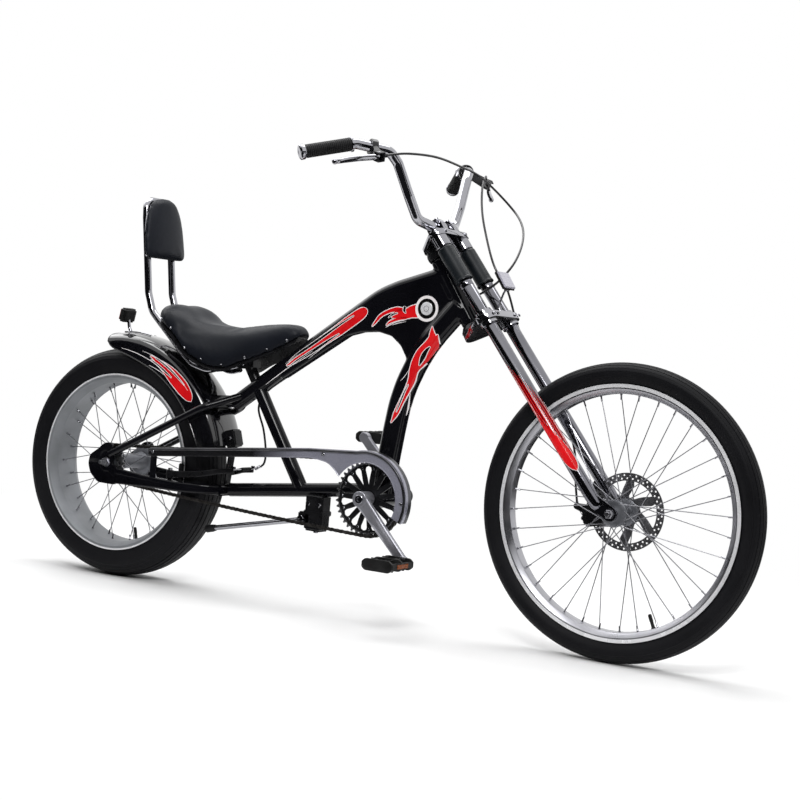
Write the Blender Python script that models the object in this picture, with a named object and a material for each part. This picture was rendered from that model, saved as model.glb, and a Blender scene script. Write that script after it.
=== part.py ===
"""Chopper bicycle modelled as an assembly of separate pieces.

Sizes are in millimetres and become metres when a piece is made. Bike coordinates have x forward
from the rear axle, y to the rider's left and z up from the ground. Each moving group hangs on an
empty that stands on its axis.
"""
import math

import bmesh
import bpy
from mathutils import Matrix, Vector

MM = 0.001
WHEEL_SIDES = 32

# Clearances
GAP = 0.3
TOOTH_CLEARANCE = 0.5
RUNNING_CLEARANCE = 1.6

# Wheels
WHEELBASE = 1262.2
REAR_RADIUS = 269.7
REAR_TYRE_WIDTH = 108.0
REAR_RIM_RADIUS = 207.3
REAR_RIM_WIDTH = 100.0
FRONT_RADIUS = 303.5
FRONT_TYRE_WIDTH = 54.0
FRONT_RIM_RADIUS = 259.5
FRONT_RIM_WIDTH = 42.0
RIM_DEPTH = 17.0
RIM_WALL = 2.6
TYRE_WALL = 4.0
SPOKE_COUNT = 36
SPOKE_RADIUS = 1.2
ROTOR_RADIUS = 80.0
ROTOR_Y = 38.0
ROTOR_THICKNESS = 1.8

# Steering and fork
HEAD_ANGLE = 34.2
RAKE = 4.3
CROWN_OFFSET = 56.5
LEG_REACH = 484.2
AXLE_OFFSET = 15.9
LEG_SPACING = 49.0
LEG_RADIUS = 14.0
LEG_TOP = 94.0
SLEEVE_RADIUS = 15.5
SLEEVE_TOP = 177.0
STANCHION_RADIUS = 12.5
STANCHION_TOP = 221.0
STEERER_RADIUS = 12.7
HEAD_TUBE_RADIUS = 20.0
HEAD_TUBE_BOTTOM = 20.0
HEAD_TUBE_TOP = 182.0
CROWN_BOTTOM = -8.0
CROWN_TOP = 6.0
CLAMP_BOTTOM = 206.0
CLAMP_TOP = 218.0
FORK_TIP_INNER = 47.0
FORK_TIP_THICKNESS = 7.0

# Handlebar
BAR_RADIUS = 11.1
GRIP_RADIUS = 14.0
GRIP_LENGTH = 109.0
LEVER_PIN_RADIUS = 2.0
CABLE_RADIUS = 2.5

# Frame layout: the corners below are drawn with the head and the rear axle here
LAYOUT_HEAD_X = 901.6
LAYOUT_HEAD_Z = 640.78
LAYOUT_AXLE_Z = 269.7

# Frame tubes
TOP_TUBE_RADIUS = 19.0
DOWN_TUBE_RADIUS = 25.0
SEAT_TUBE_RADIUS = 15.5
SEAT_POST_RADIUS = 12.7
BOTTOM_TUBE_RADIUS = 15.5
SEAT_STAY_RADIUS = 8.5
TANK_THICKNESS = 28.0
DROPOUT_INNER = 70.0
DROPOUT_THICKNESS = 8.0
STAY_Y = 74.0
GUARD_TAB_Y = -80.0

# Drive
LINK = 12.7
RING_TEETH = 40
COG_TEETH = 20
CHAIN_LINKS = 142
CHAIN_Y = -61.0
SPROCKET_THICKNESS = 3.0
TOOTH_TIP = 2.2
CRANK_Z = 268.0
CRANK_LENGTH = 165.0
CRANK_ANGLE = -45.8
CRANK_ARM_INNER = 88.0
CRANK_ARM_THICKNESS = 14.0
CRANK_AXLE_RADIUS = 8.5
SHELL_RADIUS = 22.0
SHELL_HALF_LENGTH = 50.0
PEDAL_Y = 158.0
PEDAL_LENGTH = 72.0
PEDAL_WIDTH = 92.0
PEDAL_HEIGHT = 25.0
GUARD_Y = 82.0
GUARD_SHEET = 1.5
GUARD_INNER = 79.0
GUARD_OUTER = 103.0

# Seat and mudguard
FENDER_CLEARANCE = 36.3
FENDER_HALF_WIDTH = 59.0
FENDER_SHEET = 1.8
SISSY_RADIUS = 8.5
SISSY_HALF_SPACING = 45.0
PAD_LEAN = 7.7
PAN_GAP = 0.6
PAN_SHEET = 3.0


def pitch_radius(teeth):
    return LINK / (2 * math.sin(math.pi / teeth))


def centre_distance():
    """The distance at which the closed chain has a whole number of links."""
    difference = (RING_TEETH - COG_TEETH) / (2 * math.pi)
    straight = (CHAIN_LINKS - (RING_TEETH + COG_TEETH) / 2) / 2
    return LINK * (straight + math.sqrt(straight ** 2 - 2 * difference ** 2)) / 2


REAR_X = -(WHEELBASE + FRONT_RADIUS - REAR_RADIUS) / 2
CRANK_X = math.sqrt(centre_distance() ** 2 - (REAR_RADIUS - CRANK_Z) ** 2)
CRANK_CENTRE = Vector((CRANK_X, 0, CRANK_Z))
REAR_AXLE = Vector((0, 0, REAR_RADIUS))
FENDER_RADIUS = REAR_RADIUS + FENDER_CLEARANCE
FRONT_AXLE = Vector((WHEELBASE, 0, FRONT_RADIUS))


# Helpers

def clear_scene():
    for obj in list(bpy.data.objects):
        bpy.data.objects.remove(obj, do_unlink=True)


def finish(name, colour, roughness, metallic):
    material = bpy.data.materials.get(name)
    if material is None:
        material = bpy.data.materials.new(name)
        material.use_nodes = True
        shader = material.node_tree.nodes["Principled BSDF"]
        shader.inputs["Base Color"].default_value = (*colour, 1)
        shader.inputs["Roughness"].default_value = roughness
        shader.inputs["Metallic"].default_value = metallic
        material.diffuse_color = (*colour, 1)
    return material


def black_paint():
    return finish("black_paint", (0.012, 0.012, 0.014), 0.15, 0.0)


def chrome():
    return finish("chrome", (0.82, 0.82, 0.84), 0.08, 1.0)


def alloy():
    return finish("alloy", (0.62, 0.62, 0.64), 0.3, 1.0)


def guard_silver():
    return finish("guard_silver", (0.55, 0.55, 0.62), 0.2, 0.9)


def black_steel():
    return finish("black_steel", (0.02, 0.02, 0.022), 0.35, 0.6)


def chain_steel():
    return finish("chain_steel", (0.06, 0.055, 0.05), 0.4, 0.8)


def tyre_rubber():
    return finish("tyre_rubber", (0.02, 0.02, 0.02), 0.75, 0.0)


def grip_rubber():
    return finish("grip_rubber", (0.015, 0.015, 0.015), 0.6, 0.0)


def black_vinyl():
    return finish("black_vinyl", (0.018, 0.018, 0.02), 0.4, 0.0)


def black_plastic():
    return finish("black_plastic", (0.02, 0.02, 0.02), 0.5, 0.0)


def clear_lens():
    return finish("clear_lens", (0.7, 0.68, 0.75), 0.25, 0.0)


def joint_frame(name, matrix, parent=None):
    """An empty on a joint axis. The matrix is in millimetres relative to the parent."""
    empty = bpy.data.objects.new(name, None)
    empty.empty_display_size = 0.03
    bpy.context.scene.collection.objects.link(empty)
    empty.parent = parent
    place, turn, _ = matrix.decompose()
    empty.matrix_basis = Matrix.LocRotScale(place * MM, turn, None)
    return empty


def link_object(name, mesh, frame, material):
    obj = bpy.data.objects.new(name, mesh)
    bpy.context.scene.collection.objects.link(obj)
    obj.parent = frame
    if material is not None:
        mesh.materials.append(material)
    return obj


def solid(name, bm, material, frame, matrix=None):
    """Turns a shape in millimetres into a named object in its frame."""
    if matrix is not None:
        bmesh.ops.transform(bm, matrix=matrix, verts=bm.verts)
    bmesh.ops.scale(bm, vec=(MM, MM, MM), verts=bm.verts)
    bmesh.ops.recalc_face_normals(bm, faces=bm.faces)
    mesh = bpy.data.meshes.new(name)
    bm.to_mesh(mesh)
    bm.free()
    mesh.shade_smooth()
    mesh.set_sharp_from_angle(angle=math.radians(32))
    return link_object(name, mesh, frame, material)


def tool(bm, frame, matrix=None):
    """A hidden shape that another piece is cut or joined with."""
    obj = solid("guide", bm, None, frame, matrix)
    obj.hide_render = True
    obj.display_type = "WIRE"
    return obj


def combine(target, guides, operation):
    for guide in guides:
        modifier = target.modifiers.new(operation.lower(), "BOOLEAN")
        modifier.operation = operation
        modifier.solver = "EXACT"
        modifier.object = guide


def cut(target, *guides):
    combine(target, guides, "DIFFERENCE")


def weld(target, *guides):
    combine(target, guides, "UNION")


def rod(start, end, radius, sides=12, end_radius=None):
    start = Vector(start)
    end = Vector(end)
    along = end - start
    bm = bmesh.new()
    turn = Vector((0, 0, 1)).rotation_difference(along).to_matrix().to_4x4()
    bmesh.ops.create_cone(bm, cap_ends=True, segments=sides, radius1=radius,
                          radius2=radius if end_radius is None else end_radius,
                          depth=along.length, matrix=Matrix.Translation((start + end) / 2) @ turn)
    return bm


def block(centre, size, chamfer=0.0, turn=None):
    bm = bmesh.new()
    bmesh.ops.create_cube(bm, size=1)
    bmesh.ops.scale(bm, vec=size, verts=bm.verts)
    if chamfer:
        bmesh.ops.bevel(bm, geom=bm.edges[:], offset=chamfer, segments=1, affect="EDGES")
    matrix = Matrix.Translation(centre)
    if turn is not None:
        matrix = matrix @ turn
    bmesh.ops.transform(bm, matrix=matrix, verts=bm.verts)
    return bm


def circle(x, z, radius, sides=16, start=0.0):
    return [(x + radius * math.cos(start + 2 * math.pi * i / sides),
             z + radius * math.sin(start + 2 * math.pi * i / sides)) for i in range(sides)]


def plate(outline, near, far, holes=(), lie="Y"):
    """Extrudes a flat outline with holes. It lies across the named axis."""
    bm = bmesh.new()
    edges = []
    for loop in (outline, *holes):
        if lie == "Y":
            verts = [bm.verts.new((a, near, b)) for a, b in loop]
        else:
            verts = [bm.verts.new((a, b, near)) for a, b in loop]
        edges += [bm.edges.new(pair) for pair in zip(verts, verts[1:] + verts[:1])]
    bmesh.ops.triangle_fill(bm, use_beauty=True, edges=edges)
    step = (0, far - near, 0) if lie == "Y" else (0, 0, far - near)
    grown = bmesh.ops.extrude_face_region(bm, geom=bm.faces[:])
    moved = [item for item in grown["geom"] if isinstance(item, bmesh.types.BMVert)]
    bmesh.ops.translate(bm, vec=step, verts=moved)
    return bm


def hull(circles, sides=16):
    """The taut outline around circles (x, z, radius)."""
    points = sorted(point for x, z, radius in circles for point in circle(x, z, radius, sides))

    def half(ordered):
        chain = []
        for point in ordered:
            while len(chain) > 1:
                ax, az = chain[-2]
                bx, bz = chain[-1]
                if (bx - ax) * (point[1] - az) - (bz - az) * (point[0] - ax) > 1e-6:
                    break
                chain.pop()
            chain.append(point)
        return chain[:-1]
    return half(points) + half(points[::-1])


def turned(profile, steps=16, axis="Y", closed=False, start=0.0, turn=360.0):
    """Spins (radius, height) points about the axis. A closed profile makes a ring."""
    bm = bmesh.new()
    first = math.radians(start)
    if axis == "Y":
        verts = [bm.verts.new((r * math.cos(first), h, r * math.sin(first))) for r, h in profile]
        about = (0, -1, 0)
    else:
        verts = [bm.verts.new((r * math.cos(first), r * math.sin(first), h)) for r, h in profile]
        about = (0, 0, 1)
    whole = turn >= 360
    if whole:
        ends = zip(verts, verts[1:] + verts[:1]) if closed else zip(verts, verts[1:])
        geom = verts + [bm.edges.new(pair) for pair in ends]
    else:
        geom = [bm.faces.new(verts)]
        geom += list(geom[0].edges) + list(geom[0].verts)
    bmesh.ops.spin(bm, geom=geom, cent=(0, 0, 0), axis=about, angle=math.radians(turn),
                   steps=steps, use_merge=whole)
    bmesh.ops.remove_doubles(bm, verts=bm.verts, dist=0.001)
    return bm


def loft(rings):
    """Skins closed rings of equal count, folded along the shorter diagonals, with capped ends."""
    bm = bmesh.new()
    rows = [[bm.verts.new(point) for point in ring] for ring in rings]
    for low, high in zip(rows, rows[1:]):
        for i in range(len(low)):
            j = (i + 1) % len(low)
            quad = [low[i], low[j], high[j], high[i]]
            if (quad[0].co - quad[2].co).length > (quad[1].co - quad[3].co).length:
                quad = quad[1:] + quad[:1]
            bm.faces.new(quad[:3])
            bm.faces.new((quad[0], quad[2], quad[3]))
    bm.faces.new(rows[0][::-1])
    bm.faces.new(rows[-1])
    return bm


def bar_section(centre, half_width, half_height, corner=0.35):
    """An eight-sided section across x, with chamfered corners."""
    x, y, z = centre
    cw = half_width * corner
    ch = half_height * corner
    signs = ((1, 1), (-1, 1), (-1, -1), (1, -1))
    ring = []
    for sy, sz in signs:
        first = (x, y + sy * half_width, z + sz * (half_height - ch))
        second = (x, y + sy * (half_width - cw), z + sz * half_height)
        ring += [first, second] if sy * sz > 0 else [second, first]
    return ring


def bent_path(corners, bend, steps=5):
    """Straight runs joined by arcs of the bend radius."""
    corners = [Vector(corner) for corner in corners]
    path = [corners[0]]
    for before, corner, after in zip(corners, corners[1:], corners[2:]):
        back = (before - corner).normalized()
        ahead = (after - corner).normalized()
        turn = math.pi - back.angle(ahead)
        if turn < 0.02:
            path.append(corner)
            continue
        room = 0.48 * min((before - corner).length, (after - corner).length)
        radius = min(bend, room / math.tan(turn / 2))
        reach = radius * math.tan(turn / 2)
        centre = corner + (back + ahead).normalized() * radius / math.cos(turn / 2)
        first = corner + back * reach - centre
        last = corner + ahead * reach - centre
        for i in range(steps + 1):
            share = i / steps
            arm = first * math.sin((1 - share) * turn) + last * math.sin(share * turn)
            path.append(centre + arm / math.sin(turn))
    path.append(corners[-1])
    return path


def smooth_path(points, step):
    """A smooth curve through the points, sampled at about the given step."""
    points = [Vector(point) for point in points]
    ends = [2 * points[0] - points[1]] + points + [2 * points[-1] - points[-2]]
    path = []
    for a, b, c, d in zip(ends, ends[1:], ends[2:], ends[3:]):
        count = max(1, round((c - b).length / step))
        for i in range(count):
            t = i / count
            path.append(0.5 * (2 * b + (c - a) * t + (2 * a - 5 * b + 4 * c - d) * t ** 2
                               + (3 * b - 3 * c + d - a) * t ** 3))
    path.append(points[-1])
    return path


def pipe(path, radius, sides=12, radii=None):
    """A round bar along a path, from a bevelled curve with filled ends."""
    curve = bpy.data.curves.new("centre_line", "CURVE")
    curve.dimensions = "3D"
    curve.bevel_depth = radius
    curve.bevel_resolution = sides // 2 - 2
    curve.use_fill_caps = True
    spline = curve.splines.new("POLY")
    spline.points.add(len(path) - 1)
    for i, (point, place) in enumerate(zip(spline.points, path)):
        point.co = (*place, 1)
        point.radius = 1 if radii is None else radii[i] / radius
    holder = bpy.data.objects.new("centre_line", curve)
    bpy.context.scene.collection.objects.link(holder)
    bpy.context.view_layer.update()
    view = bpy.context.evaluated_depsgraph_get()
    mesh = bpy.data.meshes.new_from_object(holder.evaluated_get(view))
    bpy.data.objects.remove(holder, do_unlink=True)
    bm = bmesh.new()
    bm.from_mesh(mesh)
    bpy.data.meshes.remove(mesh)
    bmesh.ops.remove_doubles(bm, verts=bm.verts, dist=0.001)
    return bm


def mirrored(points, side):
    return [(x, y * side, z) for x, y, z in points]


SIDES = (("right", -1), ("left", 1))


# Frames of reference

def leg_matrix(side):
    """Leg coordinates have z up the leg and their origin level with the crown."""
    place = Matrix.Translation((CROWN_OFFSET, side * LEG_SPACING, 0))
    return place @ Matrix.Rotation(-math.radians(RAKE), 4, "Y")


def axle_in_steer():
    return leg_matrix(0) @ Vector((AXLE_OFFSET, 0, -LEG_REACH))


def head_matrix():
    turn = Matrix.Rotation(-math.radians(HEAD_ANGLE), 4, "Y")
    crown = FRONT_AXLE - turn @ axle_in_steer()
    return Matrix.Translation(crown) @ turn


def layout_head():
    """The head's place in the layout, from which all parts of the steering are measured."""
    turn = Matrix.Rotation(-math.radians(HEAD_ANGLE), 4, "Y")
    return Matrix.Translation((LAYOUT_HEAD_X, 0, LAYOUT_HEAD_Z)) @ turn


def steer_point(point):
    return layout_head().inverted() @ Vector(point)


def laid(point):
    """A corner of the frame's layout, carried along by the rear axle and by the head."""
    x, y, z = point
    head = head_matrix().translation
    front = max(0, (x - 489) / (LAYOUT_HEAD_X - 489)) * max(0, min(1, (z - 280) / 240))
    rear = max(0, min(1, (489 - x) / 349))
    return Vector((x + front * (head.x - LAYOUT_HEAD_X), y,
                   z + front * (head.z - LAYOUT_HEAD_Z) + rear * (REAR_RADIUS - LAYOUT_AXLE_Z)))


def laid_outline(outline):
    moved = [laid((x, 0, z)) for x, z in outline]
    return [(point.x, point.z) for point in moved]


# Wheels

def rim_profile(radius, width):
    half = width / 2
    floor = radius - RIM_DEPTH
    return [(radius, half), (radius - 9, half), (floor - RIM_WALL, half * 0.62),
            (floor - RIM_WALL, -half * 0.62), (radius - 9, -half), (radius, -half),
            (radius, -half + RIM_WALL), (radius - 8, -half + RIM_WALL), (floor, -half * 0.56),
            (floor, half * 0.56), (radius - 8, half - RIM_WALL), (radius, half - RIM_WALL)]


def tyre_profile(radius, width, rim_radius, rim_width):
    """A horseshoe section whose beads sit inside the rim walls."""
    middle = (radius + rim_radius) / 2 + 1.5
    rise = radius - middle
    half = width / 2
    bead = rim_width / 2 - RIM_WALL - GAP
    base = rim_radius - 7
    outer = [(base, -bead), (rim_radius + 1, -bead)]
    outer += [(middle + rise * math.sin(math.radians(a)), -half * math.cos(math.radians(a)))
              for a in (0, 35, 65)]
    outer += [(radius, 0)]
    outer += [(r, -y) for r, y in outer[-2::-1]]
    inner_half = half - TYRE_WALL
    inner_rise = rise - TYRE_WALL
    inner = [(base, bead - TYRE_WALL), (rim_radius + 1, bead - TYRE_WALL)]
    slope = math.radians(30)
    inner += [(middle + inner_rise * math.sin(slope), inner_half * math.cos(slope))]
    inner += [(r, -y) for r, y in inner[::-1]]
    return outer + inner


def spokes(hub_radius, hub_halves, rim_floor, rim_y):
    """Crossed spokes from both flanges, alternately outside and inside the flange."""
    whole = bmesh.new()
    per_side = SPOKE_COUNT // 2
    lean = math.radians(54)
    for side, flange in hub_halves:
        for i in range(per_side):
            angle = 2 * math.pi * (i + (0.5 if side > 0 else 0)) / per_side
            way = 1 if i % 2 else -1
            offset = flange + side * (1.9 if i % 2 else -1.9)
            rim_angle = angle + way * lean
            start = Vector((hub_radius * math.cos(angle), offset, hub_radius * math.sin(angle)))
            end = Vector((rim_floor * math.cos(rim_angle), side * rim_y,
                          rim_floor * math.sin(rim_angle)))
            spoke = rod(start, end, SPOKE_RADIUS, 3)
            mesh = bpy.data.meshes.new("spoke")
            spoke.to_mesh(mesh)
            spoke.free()
            whole.from_mesh(mesh)
            bpy.data.meshes.remove(mesh)
    return whole


def wheel(prefix, frame, radius, width, rim_radius, rim_width):
    profile = tyre_profile(radius, width, rim_radius, rim_width)
    solid(prefix + "_tyre", turned(profile, WHEEL_SIDES, closed=True), tyre_rubber(), frame)
    profile = rim_profile(rim_radius, rim_width)
    solid(prefix + "_rim", turned(profile, WHEEL_SIDES, closed=True), alloy(), frame)


def rim_floor_reach(rim_radius):
    """The flats of the many-sided rim come nearest midway between its corners."""
    return (rim_radius - RIM_DEPTH - RIM_WALL) * math.cos(math.pi / WHEEL_SIDES) - 3 * GAP


def front_wheel(frame):
    wheel("front", frame, FRONT_RADIUS, FRONT_TYRE_WIDTH, FRONT_RIM_RADIUS, FRONT_RIM_WIDTH)
    lock = FORK_TIP_INNER - GAP
    rotor_face = ROTOR_Y - ROTOR_THICKNESS / 2 - GAP
    bore = 5.1
    profile = [(bore, -lock), (8, -lock), (8, -38), (14, -36), (27, -34), (27, -31), (15, -28),
               (15, 23), (27, 25), (27, 28), (21, 30), (21, rotor_face), (9.5, rotor_face),
               (9.5, lock), (bore, lock)]
    hub = solid("front_hub_and_spokes", turned(profile, 16, closed=True), alloy(), frame)
    reach = rim_floor_reach(FRONT_RIM_RADIUS)
    weld(hub, tool(spokes(24, ((-1, -32.5), (1, 26.5)), reach, 3), frame))
    brake_rotor(frame)


def brake_rotor(frame):
    windows = []
    for i in range(6):
        turn = math.radians(60 * i)
        points = [(62, -16), (62, 16), (30, 12), (30, -6)]
        windows.append([(r * math.cos(turn + math.radians(a)), r * math.sin(turn + math.radians(a)))
                        for r, a in points])
    near = ROTOR_Y - ROTOR_THICKNESS / 2
    bm = plate(circle(0, 0, ROTOR_RADIUS, 36), near, near + ROTOR_THICKNESS,
               [circle(0, 0, 10.1, 16)] + windows)
    solid("brake_rotor", bm, alloy(), frame)


def rear_wheel(frame):
    wheel("rear", frame, REAR_RADIUS, REAR_TYRE_WIDTH, REAR_RIM_RADIUS, REAR_RIM_WIDTH)
    lock = DROPOUT_INNER - GAP
    driver = CHAIN_Y - SPROCKET_THICKNESS / 2
    bore = 5.3
    profile = [(bore, -lock), (9, -lock), (9, driver - 1), (17, driver - 1), (17, -54),
               (33, -51), (33, -47), (19, -42), (19, 50), (33, 54), (33, 58), (17, 61), (9, 63),
               (9, lock), (bore, lock)]
    hub = solid("rear_hub_and_spokes", turned(profile, 16, closed=True), alloy(), frame)
    reach = rim_floor_reach(REAR_RIM_RADIUS)
    weld(hub, tool(spokes(29, ((-1, -49), (1, 56)), reach, 12), frame))


# Drive

def sprocket_outline(teeth):
    """Pointed teeth around the pitch circle."""
    pitch = pitch_radius(teeth)
    root = pitch - 4.0
    tip = pitch + TOOTH_TIP
    outline = []
    for i in range(teeth):
        middle = 2 * math.pi * i / teeth
        half = math.pi / teeth
        for share, radius in ((-0.95, root), (-0.25, tip), (0.25, tip)):
            angle = middle + share * half
            outline.append((radius * math.cos(angle), radius * math.sin(angle)))
    return outline


def rear_cog(frame):
    near = CHAIN_Y - SPROCKET_THICKNESS / 2
    bm = plate(sprocket_outline(COG_TEETH), near, near + SPROCKET_THICKNESS,
               [circle(0, 0, 17 + GAP, 20)])
    solid("rear_cog", bm, black_steel(), frame)


def ring_windows():
    """Fifteen petal windows between the hub and the toothed rim."""
    windows = []
    for i in range(15):
        turn = 2 * math.pi * i / 15
        points = [(26, 0), (62, -7.4), (70.5, 0), (62, 7.4)]
        windows.append([(r * math.cos(turn + math.radians(a)), r * math.sin(turn + math.radians(a)))
                        for r, a in points])
    return windows


def chainring(frame):
    near = CHAIN_Y - SPROCKET_THICKNESS / 2
    bm = plate(sprocket_outline(RING_TEETH), near, near + SPROCKET_THICKNESS,
               [circle(0, 0, CRANK_AXLE_RADIUS + GAP, 16)] + ring_windows())
    solid("chainring", bm, black_steel(), frame)


def chain_loop(frame):
    """One channel that follows the chain's run and opens towards the sprockets."""
    rear = REAR_AXLE
    front = CRANK_CENTRE
    small = pitch_radius(COG_TEETH)
    large = pitch_radius(RING_TEETH)
    line = front - rear
    heading = math.atan2(line.z, line.x)
    wrap = math.asin((large - small) / line.length)
    stations = []
    for centre, radius, first, last, steps in (
            (front, large, -math.pi / 2 - wrap, math.pi / 2 + wrap, 16),
            (rear, small, math.pi / 2 + wrap, 3 * math.pi / 2 - wrap, 9)):
        for i in range(steps + 1):
            angle = heading + first + (last - first) * i / steps
            stations.append((centre, radius, Vector((math.cos(angle), 0, math.sin(angle)))))
    web_in = TOOTH_TIP + TOOTH_CLEARANCE + 0.5
    web_out = web_in + 1.6
    side_in = SPROCKET_THICKNESS / 2 + TOOTH_CLEARANCE + 0.8
    side_out = side_in + 1.4
    section = [(web_out, -side_out), (web_out, side_out), (-4.2, side_out), (-4.2, side_in),
               (web_in, side_in), (web_in, -side_in), (-4.2, -side_in), (-4.2, -side_out)]
    bm = bmesh.new()
    rows = []
    for centre, radius, out in stations:
        rows.append([bm.verts.new(centre + out * (radius + grow) + Vector((0, CHAIN_Y + across, 0)))
                     for grow, across in section])
    for low, high in zip(rows, rows[1:] + rows[:1]):
        for i in range(len(section)):
            j = (i + 1) % len(section)
            bm.faces.new((low[i], low[j], high[j], high[i]))
    solid("chain", bm, chain_steel(), frame)


def crank_turn(side):
    return math.radians(CRANK_ANGLE if side < 0 else CRANK_ANGLE + 180)


def pedal_eye(side):
    turn = crank_turn(side)
    return Vector((CRANK_LENGTH * math.cos(turn), 0, CRANK_LENGTH * math.sin(turn)))


def crank_arm(name, frame, side):
    """A tapered forged arm with a boss at the axle and the pedal's spindle at its end."""
    inner = CRANK_ARM_INNER * side
    outer = (CRANK_ARM_INNER + CRANK_ARM_THICKNESS) * side
    eye = pedal_eye(side)
    outline = hull([(0, 0, 17), (eye.x, eye.z, 12)], 16)
    arm = solid(name, plate(outline, inner, outer), alloy(), frame)
    root = (CHAIN_Y - SPROCKET_THICKNESS / 2 - GAP) if side < 0 else 58.0
    depth = CRANK_ARM_INNER + CRANK_ARM_THICKNESS - 4
    weld(arm, tool(rod((0, root, 0), (0, inner + side * 2, 0), 16, 20), frame))
    cut(arm, tool(rod((0, 0, 0), (0, side * depth, 0), CRANK_AXLE_RADIUS + GAP, 16), frame))
    collar = CRANK_ARM_INNER + CRANK_ARM_THICKNESS
    inboard = PEDAL_Y - PEDAL_WIDTH / 2
    end = PEDAL_Y + PEDAL_WIDTH / 2 - 7
    profile = [(0, collar - 2), (8, collar - 2), (8, inboard - 1), (6, inboard - 1), (6, end),
               (0, end)]
    profile = [(r, side * h) for r, h in profile]
    weld(arm, tool(turned(profile, 12), frame, Matrix.Translation(eye)))


def cranks(frame):
    depth = CRANK_ARM_INNER + CRANK_ARM_THICKNESS - 4 - GAP
    solid("crank_axle", rod((0, -depth, 0), (0, depth, 0), CRANK_AXLE_RADIUS, 16), black_steel(),
          frame)
    for word, side in SIDES:
        crank_arm("crank_arm_" + word, frame, side)
    chainring(frame)


def pedal(word, frame, side):
    """The body turns on the spindle of its crank."""
    inner = PEDAL_Y - PEDAL_WIDTH / 2
    outer = PEDAL_Y + PEDAL_WIDTH / 2
    half = PEDAL_LENGTH / 2
    tall = PEDAL_HEIGHT / 2
    outline = [(-half, -tall * 0.5), (-half + 8, -tall), (half - 8, -tall), (half, -tall * 0.5),
               (half, tall * 0.5), (half - 8, tall), (-half + 8, tall), (-half, tall * 0.5)]
    body = solid("pedal_" + word, plate(outline, side * inner, side * outer), black_plastic(),
                 frame)
    cut(body, tool(rod((0, side * (inner - 5), 0), (0, side * (outer - 6), 0), 6 + GAP, 12), frame))
    for x in (-19.5, 19.5):
        for y in (-21, 21):
            centre = (x, side * (PEDAL_Y + y), 0)
            cut(body, tool(block(centre, (20, 32, PEDAL_HEIGHT + 10)), frame))


# Frame

def top_tube_path():
    end = head_matrix() @ Vector((0, 0, 144))
    corners = [(300, 0, 434), (366, 0, 483), (502, 0, 584), (667, 0, 704), (711, 0, 723)]
    return bent_path([laid(corner) for corner in corners] + [end], 260, 2)


def down_tube_path():
    start = head_matrix() @ Vector((0, 0, 68))
    corners = [(847, 0, 678), (797, 0, 619), (770, 0, 575), (745, 0, 520), (732, 0, 473),
               (724, 0, 419), (715, 0, 350)]
    return bent_path([start] + [laid(corner) for corner in corners] + [CRANK_CENTRE], 260, 1)


def seat_axis(distance):
    """Points up the seat tube from its foot on the bottom tube."""
    return Vector((489, 0, 276)) + Vector((-0.536, 0, 0.844)) * distance


def bottom_tube_path():
    return [laid((306, 0, 237.5)), Vector((640, 0, 276)), CRANK_CENTRE + Vector((-6, 0, 6))]


def head_cutter(frame):
    reach = HEAD_TUBE_RADIUS + GAP
    bottom = (0, 0, HEAD_TUBE_BOTTOM - 4)
    top = (0, 0, HEAD_TUBE_TOP + 4)
    return tool(rod(bottom, top, reach / math.cos(math.pi / 24), 24), frame, head_matrix())


def tube_cutter(path, radius, sides, frame):
    return tool(pipe(path, (radius + GAP) / math.cos(math.pi / sides), sides), frame)


def main_tubes(frame):
    profile = [(HEAD_TUBE_RADIUS, HEAD_TUBE_BOTTOM), (HEAD_TUBE_RADIUS, HEAD_TUBE_TOP),
               (16.5, HEAD_TUBE_TOP), (16.5, HEAD_TUBE_BOTTOM)]
    solid("head_tube", turned(profile, 20, "Z", closed=True), black_paint(), frame, head_matrix())
    head = head_cutter(frame)
    side_reach = SHELL_HALF_LENGTH + 5
    shell = tool(rod((0, -side_reach, 0), (0, side_reach, 0),
                     (SHELL_RADIUS + GAP) / math.cos(math.pi / 24), 24), frame,
                 Matrix.Translation(CRANK_CENTRE))
    bottom_guide = tube_cutter(bottom_tube_path(), BOTTOM_TUBE_RADIUS, 16, frame)
    down = solid("down_tube", pipe(down_tube_path(), DOWN_TUBE_RADIUS, 12), black_paint(), frame)
    cut(down, head, shell, bottom_guide)
    down_guide = tube_cutter(down_tube_path(), DOWN_TUBE_RADIUS, 12, frame)
    post_guide = tool(rod(seat_axis(150), seat_axis(330),
                          (SEAT_POST_RADIUS + GAP) / math.cos(math.pi / 16), 16), frame)
    top = solid("top_tube", pipe(top_tube_path(), TOP_TUBE_RADIUS, 12), black_paint(), frame)
    cut(top, head, post_guide)
    top_guide = tube_cutter(top_tube_path(), TOP_TUBE_RADIUS, 12, frame)
    tank = [(412, 517), (430, 504), (591, 612), (625, 622), (669, 626), (703, 619), (728, 600),
            (747, 570), (766, 570), (797, 619), (847, 678), (855, 692), (817, 752), (800, 752),
            (711, 723), (667, 704), (500, 583)]
    half = TANK_THICKNESS / 2
    web = solid("tank_web", plate(laid_outline(tank), -half, half), black_paint(), frame)
    cut(web, head, down_guide, top_guide)
    seat = solid("seat_tube", pipe([seat_axis(-18), seat_axis(241)], SEAT_TUBE_RADIUS, 16),
                 black_paint(), frame)
    cut(seat, bottom_guide, top_guide, post_guide)
    bottom_tube(frame)
    return top_guide


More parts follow.
